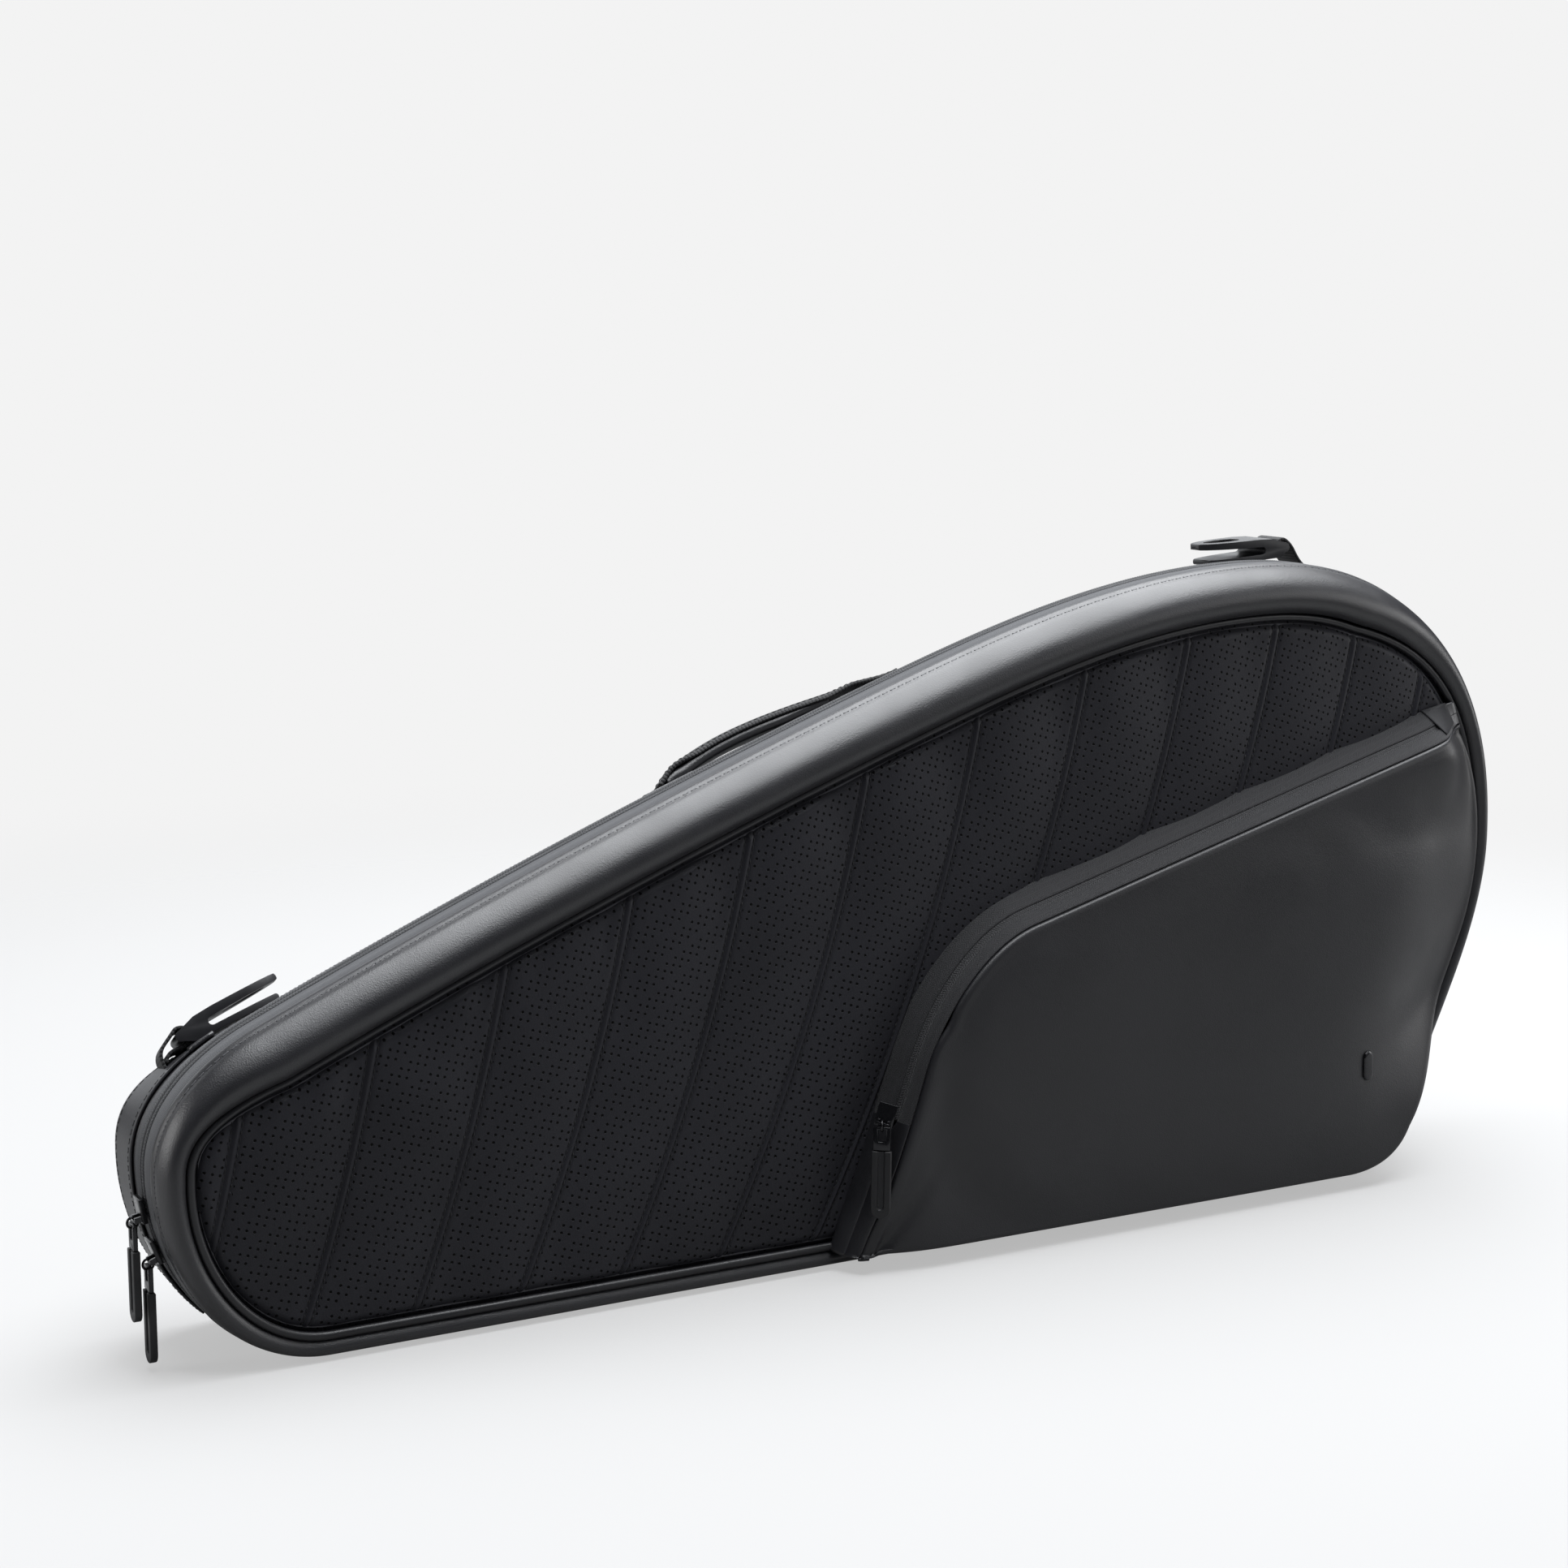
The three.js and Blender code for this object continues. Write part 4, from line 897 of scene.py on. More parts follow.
def panel_puff(place, columns, h, coarse_columns, loop):
    """How far the quilting swells between the seams, in mm, at each point of the fine panel."""
    rows = cosine_rows(44)
    coarse, depth = clipped_columns(place, coarse_columns, *PANEL_SCAN, loop, rows)
    xz = place(column(coarse), depth)
    near_seam = abs(coarse - np.round(coarse)) < 1e-6
    points = np.stack([xz[..., 0], np.full(xz.shape[:2], PANEL_Y), xz[..., 1]], -1)
    pinned = column(near_seam) + 0 * depth > 0
    pinned[:, [0, -1]] = True
    pinned[[0, -1]] = True
    swell = -simulate(points, pinned, QUILT_PRESSURE, QUILT_CAP)[..., 1]
    swell = 0.5 + np.maximum(calm(calm(swell, 1, 5), 1, 5), 0) * column(1 - near_seam)
    across = smooth_through(coarse, swell, np.clip(columns, coarse[0], coarse[-1]))
    top, bottom = h[:, :1], h[:, -1:]
    share = (h - top) / np.maximum(bottom - top, 1e-6)
    return np.stack([np.interp(share[i], rows, across[i]) for i in range(len(columns))])


def seam_stitching(points, from_edge, columns, width):
    """Both stitch lines of every quilting seam."""
    for seam in range(len(SEAM_X)):
        for side in (-1, 1):
            wanted = seam + side * SEAM_STITCH / np.interp(seam + side * 0.5, columns, width)
            k = int(np.argmin(abs(columns - wanted)))
            keep = from_edge[k] > 3.5
            line = points[k][keep] - (0, 0.15, 0)
            if len(line) > 8:
                name = f"seam_{seam + 1}_{'left' if side < 0 else 'right'}"
                forward = np.tile((0.0, -1.0, 0.0), (len(line), 1))
                stitches(name, line, forward, QUILT_STITCH, "front_cover")


# ------------------------------------------------------------------ rear panel, foam and lining
def flat_panel(name, inset, y, swell, material, slot, body, node, thickness, front):
    loop = outline.p - outline.n * column(inset)

    def place(x, z):
        return np.stack(np.broadcast_arrays(x, z), -1)

    xs = loop[:, 0].min() + np.ptp(loop[:, 0]) * cosine_rows(190, 0.8)
    columns, z = clipped_columns(place, xs[1:-1], -5, 345, loop, cosine_rows(60, 0.7))
    xz = place(column(columns), z)
    from_edge = distance_to(xz, loop[::3])
    rise = swell * (1 - np.exp(-from_edge / 22))
    sign = -1 if front else 1
    points = np.stack([xz[..., 0], y + sign * rise, xz[..., 1]], -1)
    obj = grid_object(name, points)
    face_forward(obj)
    if not front:
        obj.data.flip_normals()
    thicken(obj, thickness)
    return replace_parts(dress(obj, material, body), node)


# ------------------------------------------------------------------ CAD copies with softened edges
def cad_copy(name, node, join_flat):
    """A copy of a CAD piece with its points welded, and its flat faces joined if asked."""
    copy = bpy.data.objects.new(name, frame["nodes"][node].data.copy())
    bpy.context.scene.collection.objects.link(copy)
    whole = bmesh.new()
    whole.from_mesh(copy.data)
    bmesh.ops.remove_doubles(whole, verts=whole.verts, dist=1e-6)
    if join_flat:
        flat = math.radians(2)
        bmesh.ops.dissolve_limit(whole, angle_limit=flat, verts=whole.verts, edges=whole.edges)
    bmesh.ops.recalc_face_normals(whole, faces=whole.faces)
    whole.to_mesh(copy.data)
    whole.free()
    return copy


def softened(name, node, material, body, width, segments=3):
    """A copy of a hard CAD piece with its edges rounded."""
    copy = cad_copy(name, node, True)
    bevel = copy.modifiers.new("round", "BEVEL")
    bevel.width = width * MM
    bevel.segments = segments
    bevel.limit_method = "ANGLE"
    bevel.angle_limit = math.radians(35)
    apply_modifiers(copy)
    shade_smooth(copy.data)
    copy.data.set_sharp_from_angle(angle=math.radians(50))
    dress(copy, material, body)
    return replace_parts(copy, node)


# ------------------------------------------------------------------ front pocket
# Upper edge of the pocket, from the wide end over the corner and down to the base.
POCKET_EDGE = (
    ((343, 254), (249.33, 227.67), (155.67, 201.33), (62, 175)),
    ((62, 175), (30, 166), (6, 132), (-4, 103)),
    ((-4, 103), (-13, 75), (-30, 28), (-39, 9)),
)
# Lower and wide-end edges, anticlockwise from the left of the base.
POCKET_SIDE = (
    ((-32, 9), (66, 8.67), (164, 8.33), (262, 8)),
    ((262, 8), (285, 8), (299, 15), (306, 30)),
    ((306, 30), (326, 62), (342, 98), (354, 128)),
    ((354, 128), (369, 165), (367, 212), (347, 240)),
)
POCKET_ROOT_Y = PANEL_Y - 2.4
POCKET_FACE_Y = -50.0
POCKET_FOLD_Y = POCKET_FACE_Y + 2.4
POCKET_TILT_SIDE, POCKET_TILT_TOP = 5.0, 10.0
POCKET_ZIP_LOW = (-14, 76)
POCKET_STEPS, POCKET_ROWS = 300, 70
FACE_INSET = 5.0  # from the fold's corner to where the face runs flat
# The face's rolled edge, from where it is tucked behind the wall: steps inwards, and depths.
FOLD_SECTION = (
    (2.2, -45.2), (1.2, -45.6), (0.3, -46.3), (-0.5, -47.3),
    (-0.5, -48.3), (0.2, -49.2), (1.4, -49.8), (2.9, -50),
)
# First and last depths of the strips along the pocket's wall.
GUSSET_DEPTHS, PATCH_DEPTHS = (-24.6, -35.4), (-25.2, -45.6)
REAR_TAPE_DEPTHS, FRONT_TAPE_DEPTHS = (-35.2, -37.75), (-37.95, -40.6)
WALL_FRONT_DEPTHS = (-40.4, -46.4)
PAST_ZIP = 4.6  # how much wider the wall's front strip is beyond the zip's ends
BULGE_GRID = (56, 24)  # the simulated sheet's samples along and down the pocket's face
BULGE_PRESSURE, BULGE_CAP = 1.2, 3.0
LOWEST_Z = 8.6  # the pocket stands this far above the base

pocket_run = Run(resample(world(polyline(POCKET_EDGE)), POCKET_STEPS))
pocket_side = Run(resample(world(polyline(POCKET_SIDE)), POCKET_STEPS))
wide_end = world(polyline(POCKET_SIDE[1:]))
pocket_tilt = POCKET_TILT_SIDE + (POCKET_TILT_TOP - POCKET_TILT_SIDE) * np.maximum(0, pocket_run.n[:, 1])


def face_y(x, z):
    """The pocket's face: flat, and sinking back to the panel at the wide end."""
    reach = np.maximum(0, np.interp(z, wide_end[:, 1], wide_end[:, 0]) - x)
    height = smooth_step(z, 35, 105)
    width = 48 - 32 * smooth_step(z, 185, 235)
    fade = np.exp(-((reach / width) ** 2))
    slack = np.exp(-(((x - LENGTH_CENTRE + 36) / 26) ** 2) - ((z - 9) / 34) ** 2)
    return POCKET_FACE_Y + (POCKET_ROOT_Y - 1.4 - POCKET_FACE_Y) * (height * fade + 0.4 * slack)


fold_xz = pocket_run.p - pocket_run.n * column(pocket_tilt)
fold_face = face_y(fold_xz[:, 0], fold_xz[:, 1])
pocket_squeeze = np.clip((POCKET_ROOT_Y - fold_face) / (POCKET_ROOT_Y - POCKET_FACE_Y), 0.08, 1)


def wall_y(y):
    """A depth in the pocket's wall, squeezed where the pocket runs out at the wide end."""
    return POCKET_ROOT_Y + (y - POCKET_ROOT_Y) * column(pocket_squeeze)


def wall_lean(y):
    """How far the wall stands in from its root at a depth that isn't squeezed yet."""
    return column(pocket_tilt) * np.clip((POCKET_ROOT_Y - y) / (POCKET_ROOT_Y - POCKET_FOLD_Y), -0.2, 1)


def above_base(points):
    points[..., 2] = np.maximum(points[..., 2], LOWEST_Z)
    return points


def bend_with_flap(obj):
    """Bakes the piece's placement into its mesh."""
    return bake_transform(obj)


zip_low = nearest(pocket_run, *world(POCKET_ZIP_LOW))
zip_part = np.arange(6, zip_low + 1)


def wall_strip(name, depths, sunk, crown, thickness, stations, material, slot):
    """A strip along the pocket's wall between two depths, with rounded edges."""
    across = np.linspace(0, 1, 8)[None]
    y = depths[0] + (depths[1] - depths[0]) * across + 0 * column(pocket_run.s)
    inset = wall_lean(y) + sunk - crown * np.sin(math.pi * across)
    ring_inset, ring_y = closed_section(inset[:, ::-1], wall_y(y)[:, ::-1], thickness, roll=3)
    points = above_base(pocket_run.place(ring_inset, ring_y)[stations])
    obj = grid_object(name, points, closed_v=True, caps=True)
    return dress(obj, material)


def tape_along_zip(obj):
    """The pocket's wall is zip tape along the zip, and leather beyond its ends."""
    obj.data.materials.append(POCKET_TAPE)
    around = (len(obj.data.polygons) - 2) // (POCKET_STEPS - 1)
    for polygon in obj.data.polygons:
        station = polygon.index // around
        polygon.material_index = int(zip_part[0] <= station < zip_part[-1])
    return obj


def build_pocket_wall():
    everywhere = np.arange(POCKET_STEPS)
    gusset = wall_strip("pocket_wall", GUSSET_DEPTHS, 0, 0.4, 1.5, everywhere, LEATHER, "leather")
    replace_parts(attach(tape_along_zip(gusset), "front_cover"), "pocket_gusset")
    tape = (0.5, 0.3, 0.8, zip_part, COIL_FINE, "zip_tape")
    inner = wall_strip("pocket_tape_rear", REAR_TAPE_DEPTHS, *tape)
    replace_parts(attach(inner, "front_cover"), "pocket_zip_coil")
    bend_with_flap(wall_strip("pocket_tape_front", FRONT_TAPE_DEPTHS, *tape))
    low = smooth_step(pocket_run.s, pocket_run.s[zip_low] - 4, pocket_run.s[zip_low] + 12)
    end = 1 - smooth_step(pocket_run.s, 6, 16)
    depths = (column(WALL_FRONT_DEPTHS[0] + PAST_ZIP * np.maximum(low, end)), WALL_FRONT_DEPTHS[1])
    wall = wall_strip("pocket_wall_front", depths, 0, 0.4, 1.2, everywhere, LEATHER, "leather")
    bend_with_flap(tape_along_zip(wall))
    stations = np.arange(3, 13)
    patch = wall_strip("pocket_end_patch", PATCH_DEPTHS, -1.3, 0.3, 1.2, stations, PATCH_LEATHER, "leather")
    bend_with_flap(patch)


def face_detail(x, z):
    """Slack in the leather: slow dents, folds at the lower left and in the sunk wide end."""
    x = x - LENGTH_CENTRE
    dents = 0.5 * np.sin(x / 31 + 1.3 * np.sin(z / 37)) * np.sin(z / 43 + x / 90 + 0.6)
    along = (x + 30) * 0.5 + (z - 9) * 0.87
    across = (x + 30) * 0.87 - (z - 9) * 0.5
    folds = 2.2 * np.exp(-((across - 4 - along * 0.12) / 5) ** 2) * np.exp(-((along - 22) / 26) ** 2)
    ray = (x - 300) * 0.93 - (z - 40) * 0.36
    sag = 1.6 * np.exp(-((ray - 14) / 7) ** 2) * np.exp(-((z - 95) / 55) ** 2)
    sag = sag - 1.2 * np.exp(-((ray - 30) / 6) ** 2) * np.exp(-((z - 120) / 45) ** 2)
    return dents + folds + sag


def build_pocket_front():
    corner = pocket_run.s[nearest(pocket_run, *world((4, 128)))]
    dent = column(2.4 * bump_at(pocket_run.s, corner, 7) - 1.0 * bump_at(pocket_run.s, corner + 15, 9))
    corner_in = wall_lean(np.array([[POCKET_FOLD_Y]]))
    squeeze = column(pocket_squeeze)
    flat_in = corner_in + FACE_INSET + dent
    flat_xz = pocket_run.p - pocket_run.n * flat_in
    flat_y = column(face_y(flat_xz[:, 0], flat_xz[:, 1]))
    roll = []
    for step_in, forward in FOLD_SECTION:
        share = max(0, step_in) / FACE_INSET
        roll_y = wall_y(np.array([[forward]])) * (1 - share**2) + flat_y * share**2
        roll.append((corner_in + step_in + dent * min(1, 0.4 + share), roll_y + 0 * squeeze))
    inset = np.concatenate([r[0] for r in roll], 1)
    y = np.concatenate([r[1] for r in roll], 1)
    border = pocket_run.place(inset, y)

    side = Run(pocket_side.p[::-1].copy())
    side.n = pocket_side.n[::-1]
    ends = smooth_step(pocket_run.s, 0, 14) * smooth_step(pocket_run.s[-1] - pocket_run.s, 0, 14)
    in_side = column(3.0 * ends)
    side_xz = side.p - side.n * in_side
    share = cosine_rows(POCKET_ROWS, 0.6)
    ruled = flat_xz[:, None] * (1 - share[None, :, None]) + side_xz[:, None] * share[None, :, None]
    depth = face_y(ruled[..., 0], ruled[..., 1])
    bulge = pocket_bulge(ruled, depth)
    free = column(ends) * np.sin(math.pi * np.clip(share, 0, 1))[None] ** 0.5
    depth = depth + face_detail(ruled[..., 0], ruled[..., 1]) * free - bulge * free
    inner = np.stack([ruled[..., 0], depth, ruled[..., 1]], -1)

    side_y = column(face_y(side_xz[:, 0], side_xz[:, 1]))
    back = np.minimum(3.5, (-27.6 - side_y) * 0.7)
    turn = np.linspace(0, 1, 6)[None, 1:]
    round_in = in_side * (1 - turn) ** 2
    round_y = side_y + back * turn**2
    tail = side_y + back + (-26.4 - side_y - back) * np.array([[0.5, 1.0]])
    hem_in = np.concatenate([round_in, 0 * tail], 1)
    hem = side.place(hem_in, np.concatenate([round_y, tail], 1))
    points = above_base(np.concatenate([border, inner, hem], 1))
    front = grid_object("pocket_front", points)
    face_forward(front)
    thicken(front, 1.4)
    dress(front, POCKET_LEATHER)
    bend_with_flap(front)
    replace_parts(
        front, "pocket_face", "pocket_flap", "pocket_flap_rim",
        "pocket_side_wall", "pocket_end_wall", "pocket_base",
    )


def pocket_bulge(ruled, depth):
    """How far the pocket's face swells, in mm, from a cloth simulation of it."""
    columns, rows = (
        np.linspace(0, count - 1, samples) for count, samples in zip((POCKET_STEPS, POCKET_ROWS), BULGE_GRID)
    )
    i, j = columns.astype(int), rows.astype(int)
    coarse = np.stack([ruled[..., 0], depth, ruled[..., 1]], -1)[i][:, j]
    pinned = np.zeros(BULGE_GRID, bool)
    pinned[[0, -1]] = pinned[:, [0, -1]] = True
    swell = -simulate(coarse, pinned, BULGE_PRESSURE, BULGE_CAP)[..., 1]
    swell = calm(calm(swell, 0, 2), 1, 2)
    along = smooth_through(columns, swell, np.arange(POCKET_STEPS))
    return smooth_through(rows, along.T, np.arange(POCKET_ROWS)).T


# ------------------------------------------------------------------ patches on the rear shell
def shell_patch(name, run, front_y, back_y, thickness):
    """A leather patch that lies on the rear gusset, with rounded edges."""
    y = np.linspace(front_y, back_y, 14)[None] + 0 * column(run.s)
    inset = gusset_inset(run, y) - 0.5 - thickness
    ring_inset, ring_y = closed_section(inset[:, ::-1], y[:, ::-1], thickness, roll=3)
    obj = grid_object(name, run.place(ring_inset, ring_y), closed_v=True, caps=True)
    dress(obj, LEATHER, "root")
    return obj, run.place(inset - 0.1, y)


def edge_stitching(name, surface):
    """Stitches along a patch's front and back edges."""
    normals = section_normals(surface)
    for number, row in enumerate((1, 12)):
        stitches(f"{name}_{number + 1}", surface[:, row], normals[:, row], PATCH_STITCH, "root")


def build_shell_patches():
    """The covered narrow end with its bound edge, and the anchors under the carry handle."""
    first = nearest(outline, LENGTH_CENTRE - 345.5, 143)
    last = nearest(outline, LENGTH_CENTRE - 336, ZIP_END_LEFT)
    cover, surface = shell_patch("end_cover", outline.part(between(outline, first, last)), 12, 42, 1.3)
    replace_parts(cover, "narrow_end_cover")
    edge_stitching("end_cover_stitching", surface)
    binding_run = outline.part(between(outline, first - 4, first + 1))
    binding, _ = shell_patch("end_binding", binding_run, 11.6, 42.4, 2.2)
    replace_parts(binding, "end_cover_binding")
    for side, x in zip(("left", "right"), HANDLE_X):
        run = outline.part(between(outline, top_station(x + 13), top_station(x - 13)))
        anchor, surface = shell_patch(f"anchor_{side}", run, HANDLE_Y - 10, HANDLE_Y + 10, 1.2)
        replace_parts(anchor, f"handle_anchor_{side}")
        edge_stitching(f"anchor_{side}_stitching", surface)


# ------------------------------------------------------------------ straps and handle
def rounded_bar(width, thickness, corner, steps=5):
    """A flat section with round corners: offsets across the strap and out of it."""
    points = []
    for cx, cy, start in ((1, 1, 0), (-1, 1, 90), (-1, -1, 180), (1, -1, 270)):
        for k in range(steps):
            angle = math.radians(start + 90 * k / (steps - 1))
            x = cx * (width / 2 - corner) + corner * math.cos(angle)
            y = cy * (thickness / 2 - corner) + corner * math.sin(angle)
            points.append((x, y))
        if cy == 1 and cx == 1:
            flat = np.linspace(width / 2 - corner, corner - width / 2, 10)[1:-1]
            points += [(x, thickness / 2) for x in flat]
    return np.array(points)


def set_down(p, lean, turn, origin, side=1):
    """Points of a strap's own frame, leaned about its length, turned in X and Z, and moved."""
    y = p[..., 1] * math.cos(lean) + p[..., 2] * math.sin(lean)
    up = p[..., 2] * math.cos(lean) - p[..., 1] * math.sin(lean)
    x = p[..., 0] * math.cos(turn) - up * math.sin(turn)
    z = p[..., 0] * math.sin(turn) + up * math.cos(turn)
    return np.stack([side * x + origin[0], y + origin[1], z + origin[2]], -1)


def strap(name, path, section, place, material, body, drop=0.0):
    """A strap along a path in its own X and Z, with its sides dropped by so much, put in place."""
    run = Run(path)
    up = np.stack([-run.t[:, 1], run.t[:, 0]], 1)
    half = abs(section[:, 0]).max()
    height = section[None, :, 1] - column(drop + 0 * run.s) * (section[None, :, 0] / half) ** 2
    xz = run.p[:, None] + up[:, None] * height[..., None]
    points = np.stack([xz[..., 0], section[None, :, 0] + 0 * xz[..., 0], xz[..., 1]], -1)
    obj = grid_object(name, place(points), closed_v=True, caps=True)
    return dress(obj, material, body)


HANDLE_X = (-106.0, 26.0)
HANDLE_Y, HANDLE_DROPS = 31.0, (10.2, 9.7)
HANDLE_LEAN = math.radians(29)
HANDLE_STEPS = 160


def build_handle():
    """Ribbed webbing over a padding, leaning with the shell and sewn down at both ends."""
    ends = [
        np.array([x + LENGTH_CENTRE, outline.p[top_station(x), 1] - drop])
        for x, drop in zip(HANDLE_X, HANDLE_DROPS)
    ]
    along = ends[1] - ends[0]
    length, slope = np.hypot(*along), math.atan2(along[1], along[0])

    def place(p):
        return set_down(p, HANDLE_LEAN, slope, (ends[0][0], HANDLE_Y, ends[0][1]))

    curve = ((0, 0), (0.29 * length, 19.6), (0.83 * length, -3.2), (length, 0))
    path = resample(bezier(curve, 200), HANDLE_STEPS)
    t = np.linspace(0, 1, HANDLE_STEPS)
    path[:, 1] -= 2.4 * smooth_step(t, 0.8, 1.0) + 1.4 * (1 - smooth_step(t, 0, 0.08))
    drop = 2.6 * smooth_step(t, 0.08, 0.2) * (1 - smooth_step(t, 0.7, 0.84))
    band = strap("handle_band", path, rounded_bar(15.4, 2.2, 0.9), place, WEBBING, "root", drop)
    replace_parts(band, "handle_webbing")
    under = Run(path)
    covered = (t > 0.02) & (t < 0.72)
    start = 1 - smooth_step(t, 0.02, 0.12)
    lower = under.p + under.n * column(4.3 - 1.6 * smooth_step(t, 0.5, 0.72) - 2 * start)
    thick = 1 - 0.55 * np.maximum(start, smooth_step(t, 0.55, 0.72))
    pad = strap(
        "handle_pad", lower[covered], rounded_bar(13.4, 6.2, 2.9), place, LEATHER, "root",
        0.8 * thick[covered],
    )
    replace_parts(pad, "handle_padding")
    for end, side in (("front", -1), ("rear", 1)):
        across = 5.9 * side
        lift = 1.15 - drop * (across / 7.7) ** 2
        local = under.p - under.n * column(lift)
        line = place(np.stack([local[:, 0], np.full(HANDLE_STEPS, across), local[:, 1]], 1))
        higher = under.p - under.n * column(lift + 1)
        top = place(np.stack([higher[:, 0], np.full(HANDLE_STEPS, across), higher[:, 1]], 1)) - line
        stitches(f"handle_stitching_{end}", line[3:-3], top[3:-3], HANDLE_STITCH, "root")


def spline(points, steps=14):
    """A smooth line through the points."""
    p = np.array([points[0], *points, points[-1]], float)
    t = np.linspace(0, 1, steps, endpoint=False)[:, None]
    line = []
    for a, b, c, d in zip(p, p[1:], p[2:], p[3:]):
        line.append(b + 0.5 * t * (c - a + t * (2 * a - 5 * b + 4 * c - d + t * (3 * (b - c) + d - a))))
    return np.vstack([*line, p[-1:]])


HOOK_BAR_X, HOOK_BAR_Z, WRAP_R = 2.6, 5.4, 4.4
OVER_BAR = [
    (HOOK_BAR_X + WRAP_R * math.cos(math.radians(a)), HOOK_BAR_Z + WRAP_R * math.sin(math.radians(a)))
    for a in (140, 95, 50, 10, -40)
]
LEFT_WEBBING = [(-9.9, -4), (-9.4, 1), (-7.6, 4.2), (-4, 6.6), *OVER_BAR]
LEFT_WEBBING += [(2.6, 1.0), (-2.4, 1.6), (-6, 0.8), (-8.6, -2)]
RIGHT_WEBBING = [(-19.4, -13.9), (-9, -3.5), (-4, 4.6), *OVER_BAR]
# Each hook: name, its place in X and Z, which way it points, its tilt and lean, and its webbing.
HOOKS = (
    ("left_hook", (-344.0, 133.8), 1, 22, 24, LEFT_WEBBING),
    ("right_hook", (268.0, 334.0), -1, -4, 0, RIGHT_WEBBING),
)


def build_hooks():
    for name, (x, z), side, tilt, lean, path in HOOKS:
        softened(f"{name}_body", name, PLASTIC, name, 0.8, 4)
        pose = (math.radians(lean), math.radians(tilt), (x + LENGTH_CENTRE, STRAP_Y, z), side)

        def place(p, pose=pose):
            return set_down(p, *pose)

        line = resample(spline(path), 90)
        loop = strap(f"{name}_loop", line, rounded_bar(19, 1.6, 0.7), place, WEBBING, "root")
        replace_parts(loop, f"{name}_webbing")


# ------------------------------------------------------------------ zip hardware
def smooth_ring(name, node, body):
    """A copy of a small CAD ring, rounded off."""
    ring = cad_copy(name, node, False)
    fatter = ring.modifiers.new("fatter", "DISPLACE")
    fatter.strength = 0.12 * MM
    fatter.mid_level = 0
    finer = ring.modifiers.new("finer", "SUBSURF")
    finer.levels = finer.render_levels = 2
    apply_modifiers(ring)
    shade_smooth(ring.data)
    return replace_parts(dress(ring, METAL, body), node)


# Each ring's size, and how far it stands out of the face, in mm.
BADGE_RINGS = ((0.97, -0.5), (1.0, 0.5), (0.97, 0.9), (0.88, 1.15), (0.7, 1.25), (0.35, 1.3), (0.05, 1.3))


def build_badge():
    """A plain pill that lies on the swollen face, where the CAD badge is."""
    low, high = (Vector(corner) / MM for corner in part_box("badge"))
    middle, half_x, half_z = (low + high) / 2, (high.x - low.x) / 2, (high.z - low.z) / 2
    angle = np.linspace(0, 2 * math.pi, 40, endpoint=False)
    straight = half_z - half_x
    rim = np.stack([half_x * np.cos(angle), half_x * np.sin(angle) + straight * np.sign(np.sin(angle))], 1)
    face = bpy.data.objects["pocket_front"]
    rings = []
    for size, lift in BADGE_RINGS:
        ring = []
        for dx, dz in rim * size:
            start = Vector((middle.x + dx, -90, middle.z + dz)) * MM
            hit, place, _, _ = face.ray_cast(start, Vector((0, 1, 0)))
            ring.append((middle.x + dx, (place.y / MM if hit else middle.y) - lift, middle.z + dz))
        rings.append(ring)
    pill = grid_object("pill_badge", np.array(rings), closed_v=True, caps=True)
    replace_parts(dress(pill, METAL, "front_cover"), "badge")


def build_hardware():
    for place in ("upper", "lower", "pocket"):
        slider, puller = f"{place}_slider", f"{place}_puller"
        softened(f"{slider}_body", slider, METAL, slider, 0.45)
        smooth_ring(f"{puller}_ring", f"{puller}_link", puller)
        softened(f"{puller}_bracket", f"{puller}_frame", METAL, puller, 0.35)
        softened(f"{puller}_grip", f"{puller}_sleeve", RUBBER, puller, 0.7, 4)
    build_badge()
    softened("end_tab", "zip_end_tab", LEATHER, "root", 0.8)


def build_inside():
    foam_in = band_width(outline) + 2 * PIPING_R + 1.6
    rear_in = rear_inset(outline) + REAR_ROUND + 2 * PIPING_R + 1.9
    foam, cloth = (0.1, FOAM, "foam"), (0.5, LINING, "lining")
    for board in (
        flat_panel("front_board", foam_in, -19.1, *foam, "front_cover", "front_foam", 4.4, False),
        flat_panel("rear_board", rear_in, 44.8, *foam, "root", "rear_foam", 4.4, True),
    ):
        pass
    flat_panel("front_cloth", foam_in, -17.6, *cloth, "front_cover", "front_lining", 0.8, False)
    flat_panel("rear_cloth", rear_in, 43.4, *cloth, "root", "rear_lining", 0.8, True)


build_band()
build_piping()
build_zip()
build_rear()
build_panel()
panel_in = rear_inset(outline) + REAR_ROUND + 2 * PIPING_R - 0.6
flat_panel("back_panel", panel_in, BACK_Y - 3.0, 2.6, LEATHER, "leather", "root", "rear_panel", 1.6, False)
build_pocket_wall()
build_pocket_front()
build_shell_patches()
build_handle()
build_hooks()
build_hardware()
build_inside()


# ------------------------------------------------------------------ camera, light and stage
def view_basis(azimuth, elevation):
    a, e = math.radians(azimuth), math.radians(elevation)
    back = Vector((math.sin(a) * math.cos(e), -math.cos(a) * math.cos(e), math.sin(e)))
    right = Vector((math.cos(a), math.sin(a), 0))
    return right, back.cross(right), back


CAMERA_TURN = (-28.45, 9.32)  # azimuth and elevation, in degrees
CAMERA_PLACE = (-686.0, -1173.5, 457.3)
CAMERA_LENS = 64.3


def add_camera():
    camera = bpy.data.objects.new("camera", bpy.data.cameras.new("camera"))
    right, up, back = view_basis(*CAMERA_TURN)
    camera.matrix_world = Matrix((right, up, back)).transposed().to_4x4()
    camera.location = Vector(CAMERA_PLACE) * MM
    camera.data.lens = CAMERA_LENS
    camera.data.sensor_width = 36.0
    camera.data.clip_end = 50
    bpy.context.scene.collection.objects.link(camera)
    bpy.context.scene.camera = camera


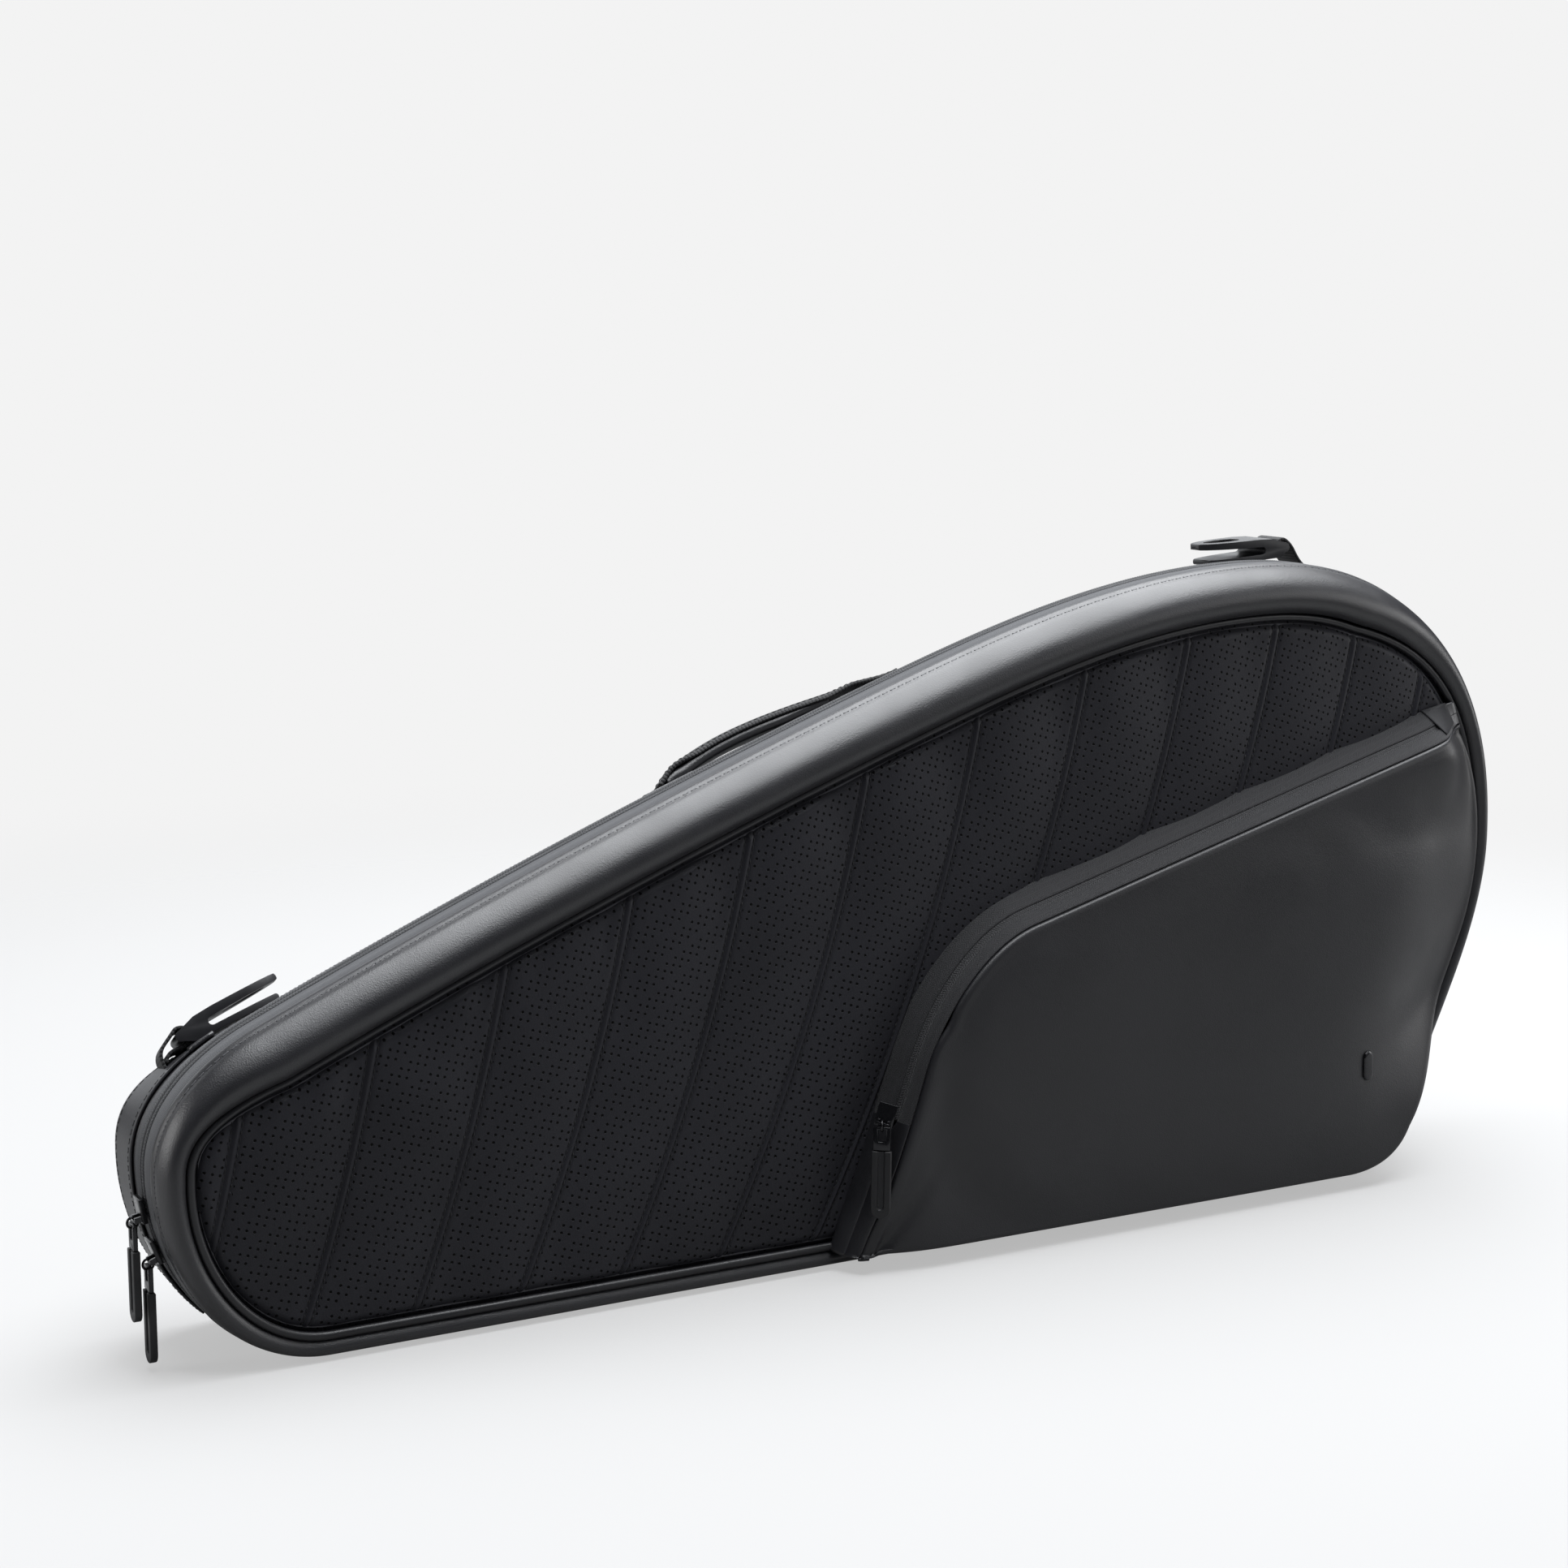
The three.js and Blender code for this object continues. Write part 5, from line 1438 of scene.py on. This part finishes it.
def add_area(name, place, target, size, power, color=(1, 1, 1)):
    light = bpy.data.lights.new(name, "AREA")
    light.shape = "RECTANGLE"
    light.size, light.size_y = size
    light.energy = power
    light.color = color
    lamp = bpy.data.objects.new(name, light)
    lamp.location = place
    lamp.rotation_euler = (Vector(target) - Vector(place)).to_track_quat("-Z", "Y").to_euler()
    bpy.context.scene.collection.objects.link(lamp)


FLOOR_HALF = 2500


def add_stage():
    world_node = bpy.data.worlds.new("studio")
    bpy.context.scene.world = world_node
    world_node.use_nodes = True
    tree = world_node.node_tree
    background = tree.nodes["Background"]
    path = tree.nodes.new("ShaderNodeLightPath")
    mix = tree.nodes.new("ShaderNodeMix")
    mix.data_type = "RGBA"
    mix.inputs[6].default_value = (0.05, 0.052, 0.06, 1)
    mix.inputs[7].default_value = (0.896, 0.896, 0.896, 1)
    tree.links.new(path.outputs["Is Camera Ray"], mix.inputs[0])
    tree.links.new(mix.outputs[2], background.inputs[0])
    s = Shader("floor", (0.24, 0.24, 0.24), 0.9, specular=0.0)
    seen = s.node("ShaderNodeLightPath").outputs["Is Camera Ray"]
    s.set("Emission Color", (1, 1, 1, 1))
    s.link(s.math("MULTIPLY_ADD", seen, 0.4, 0.06), "Emission Strength")
    reach = s.node("ShaderNodeVectorMath", {"operation": "LENGTH"}, i0=s.place()).outputs["Value"]
    s.link(s.ramp(reach, 0.75, 1.5, 1.0, 0.0), "Alpha")
    corners = [(FLOOR_HALF * x, FLOOR_HALF * y, 0) for x, y in ((-1, -1), (1, -1), (1, 1), (-1, 1))]
    floor = mesh_object("floor", corners, [[0, 1, 2, 3]])
    floor.data.materials.append(s.material)
    floor.location.z = -0.0003


add_camera()
add_area("overhead", (0.33, 0.1, 1.7), (0.15, 0.0, 0.2), (1.65, 2.2), 86, (0.955, 0.975, 1.0))
add_area("backdrop", (0.4, 2.4, 1.1), (0.0, 0.0, 0.3), (4.5, 1.8), 35, (0.95, 0.975, 1.0))
add_area("right_side", (2.0, -0.5, 0.5), (0.2, 0.0, 0.15), (0.7, 1.1), 8)
add_area("front_fill", (1.3, -1.2, 0.75), (0.2, 0.0, 0.15), (1.0, 1.0), 4)
add_area("left_rim", (-2.0, 0.6, 0.6), (-0.3, 0.0, 0.1), (0.9, 1.0), 14)
add_stage()
bpy.context.scene.view_settings.view_transform = "Standard"

bpy.context.view_layer.update()
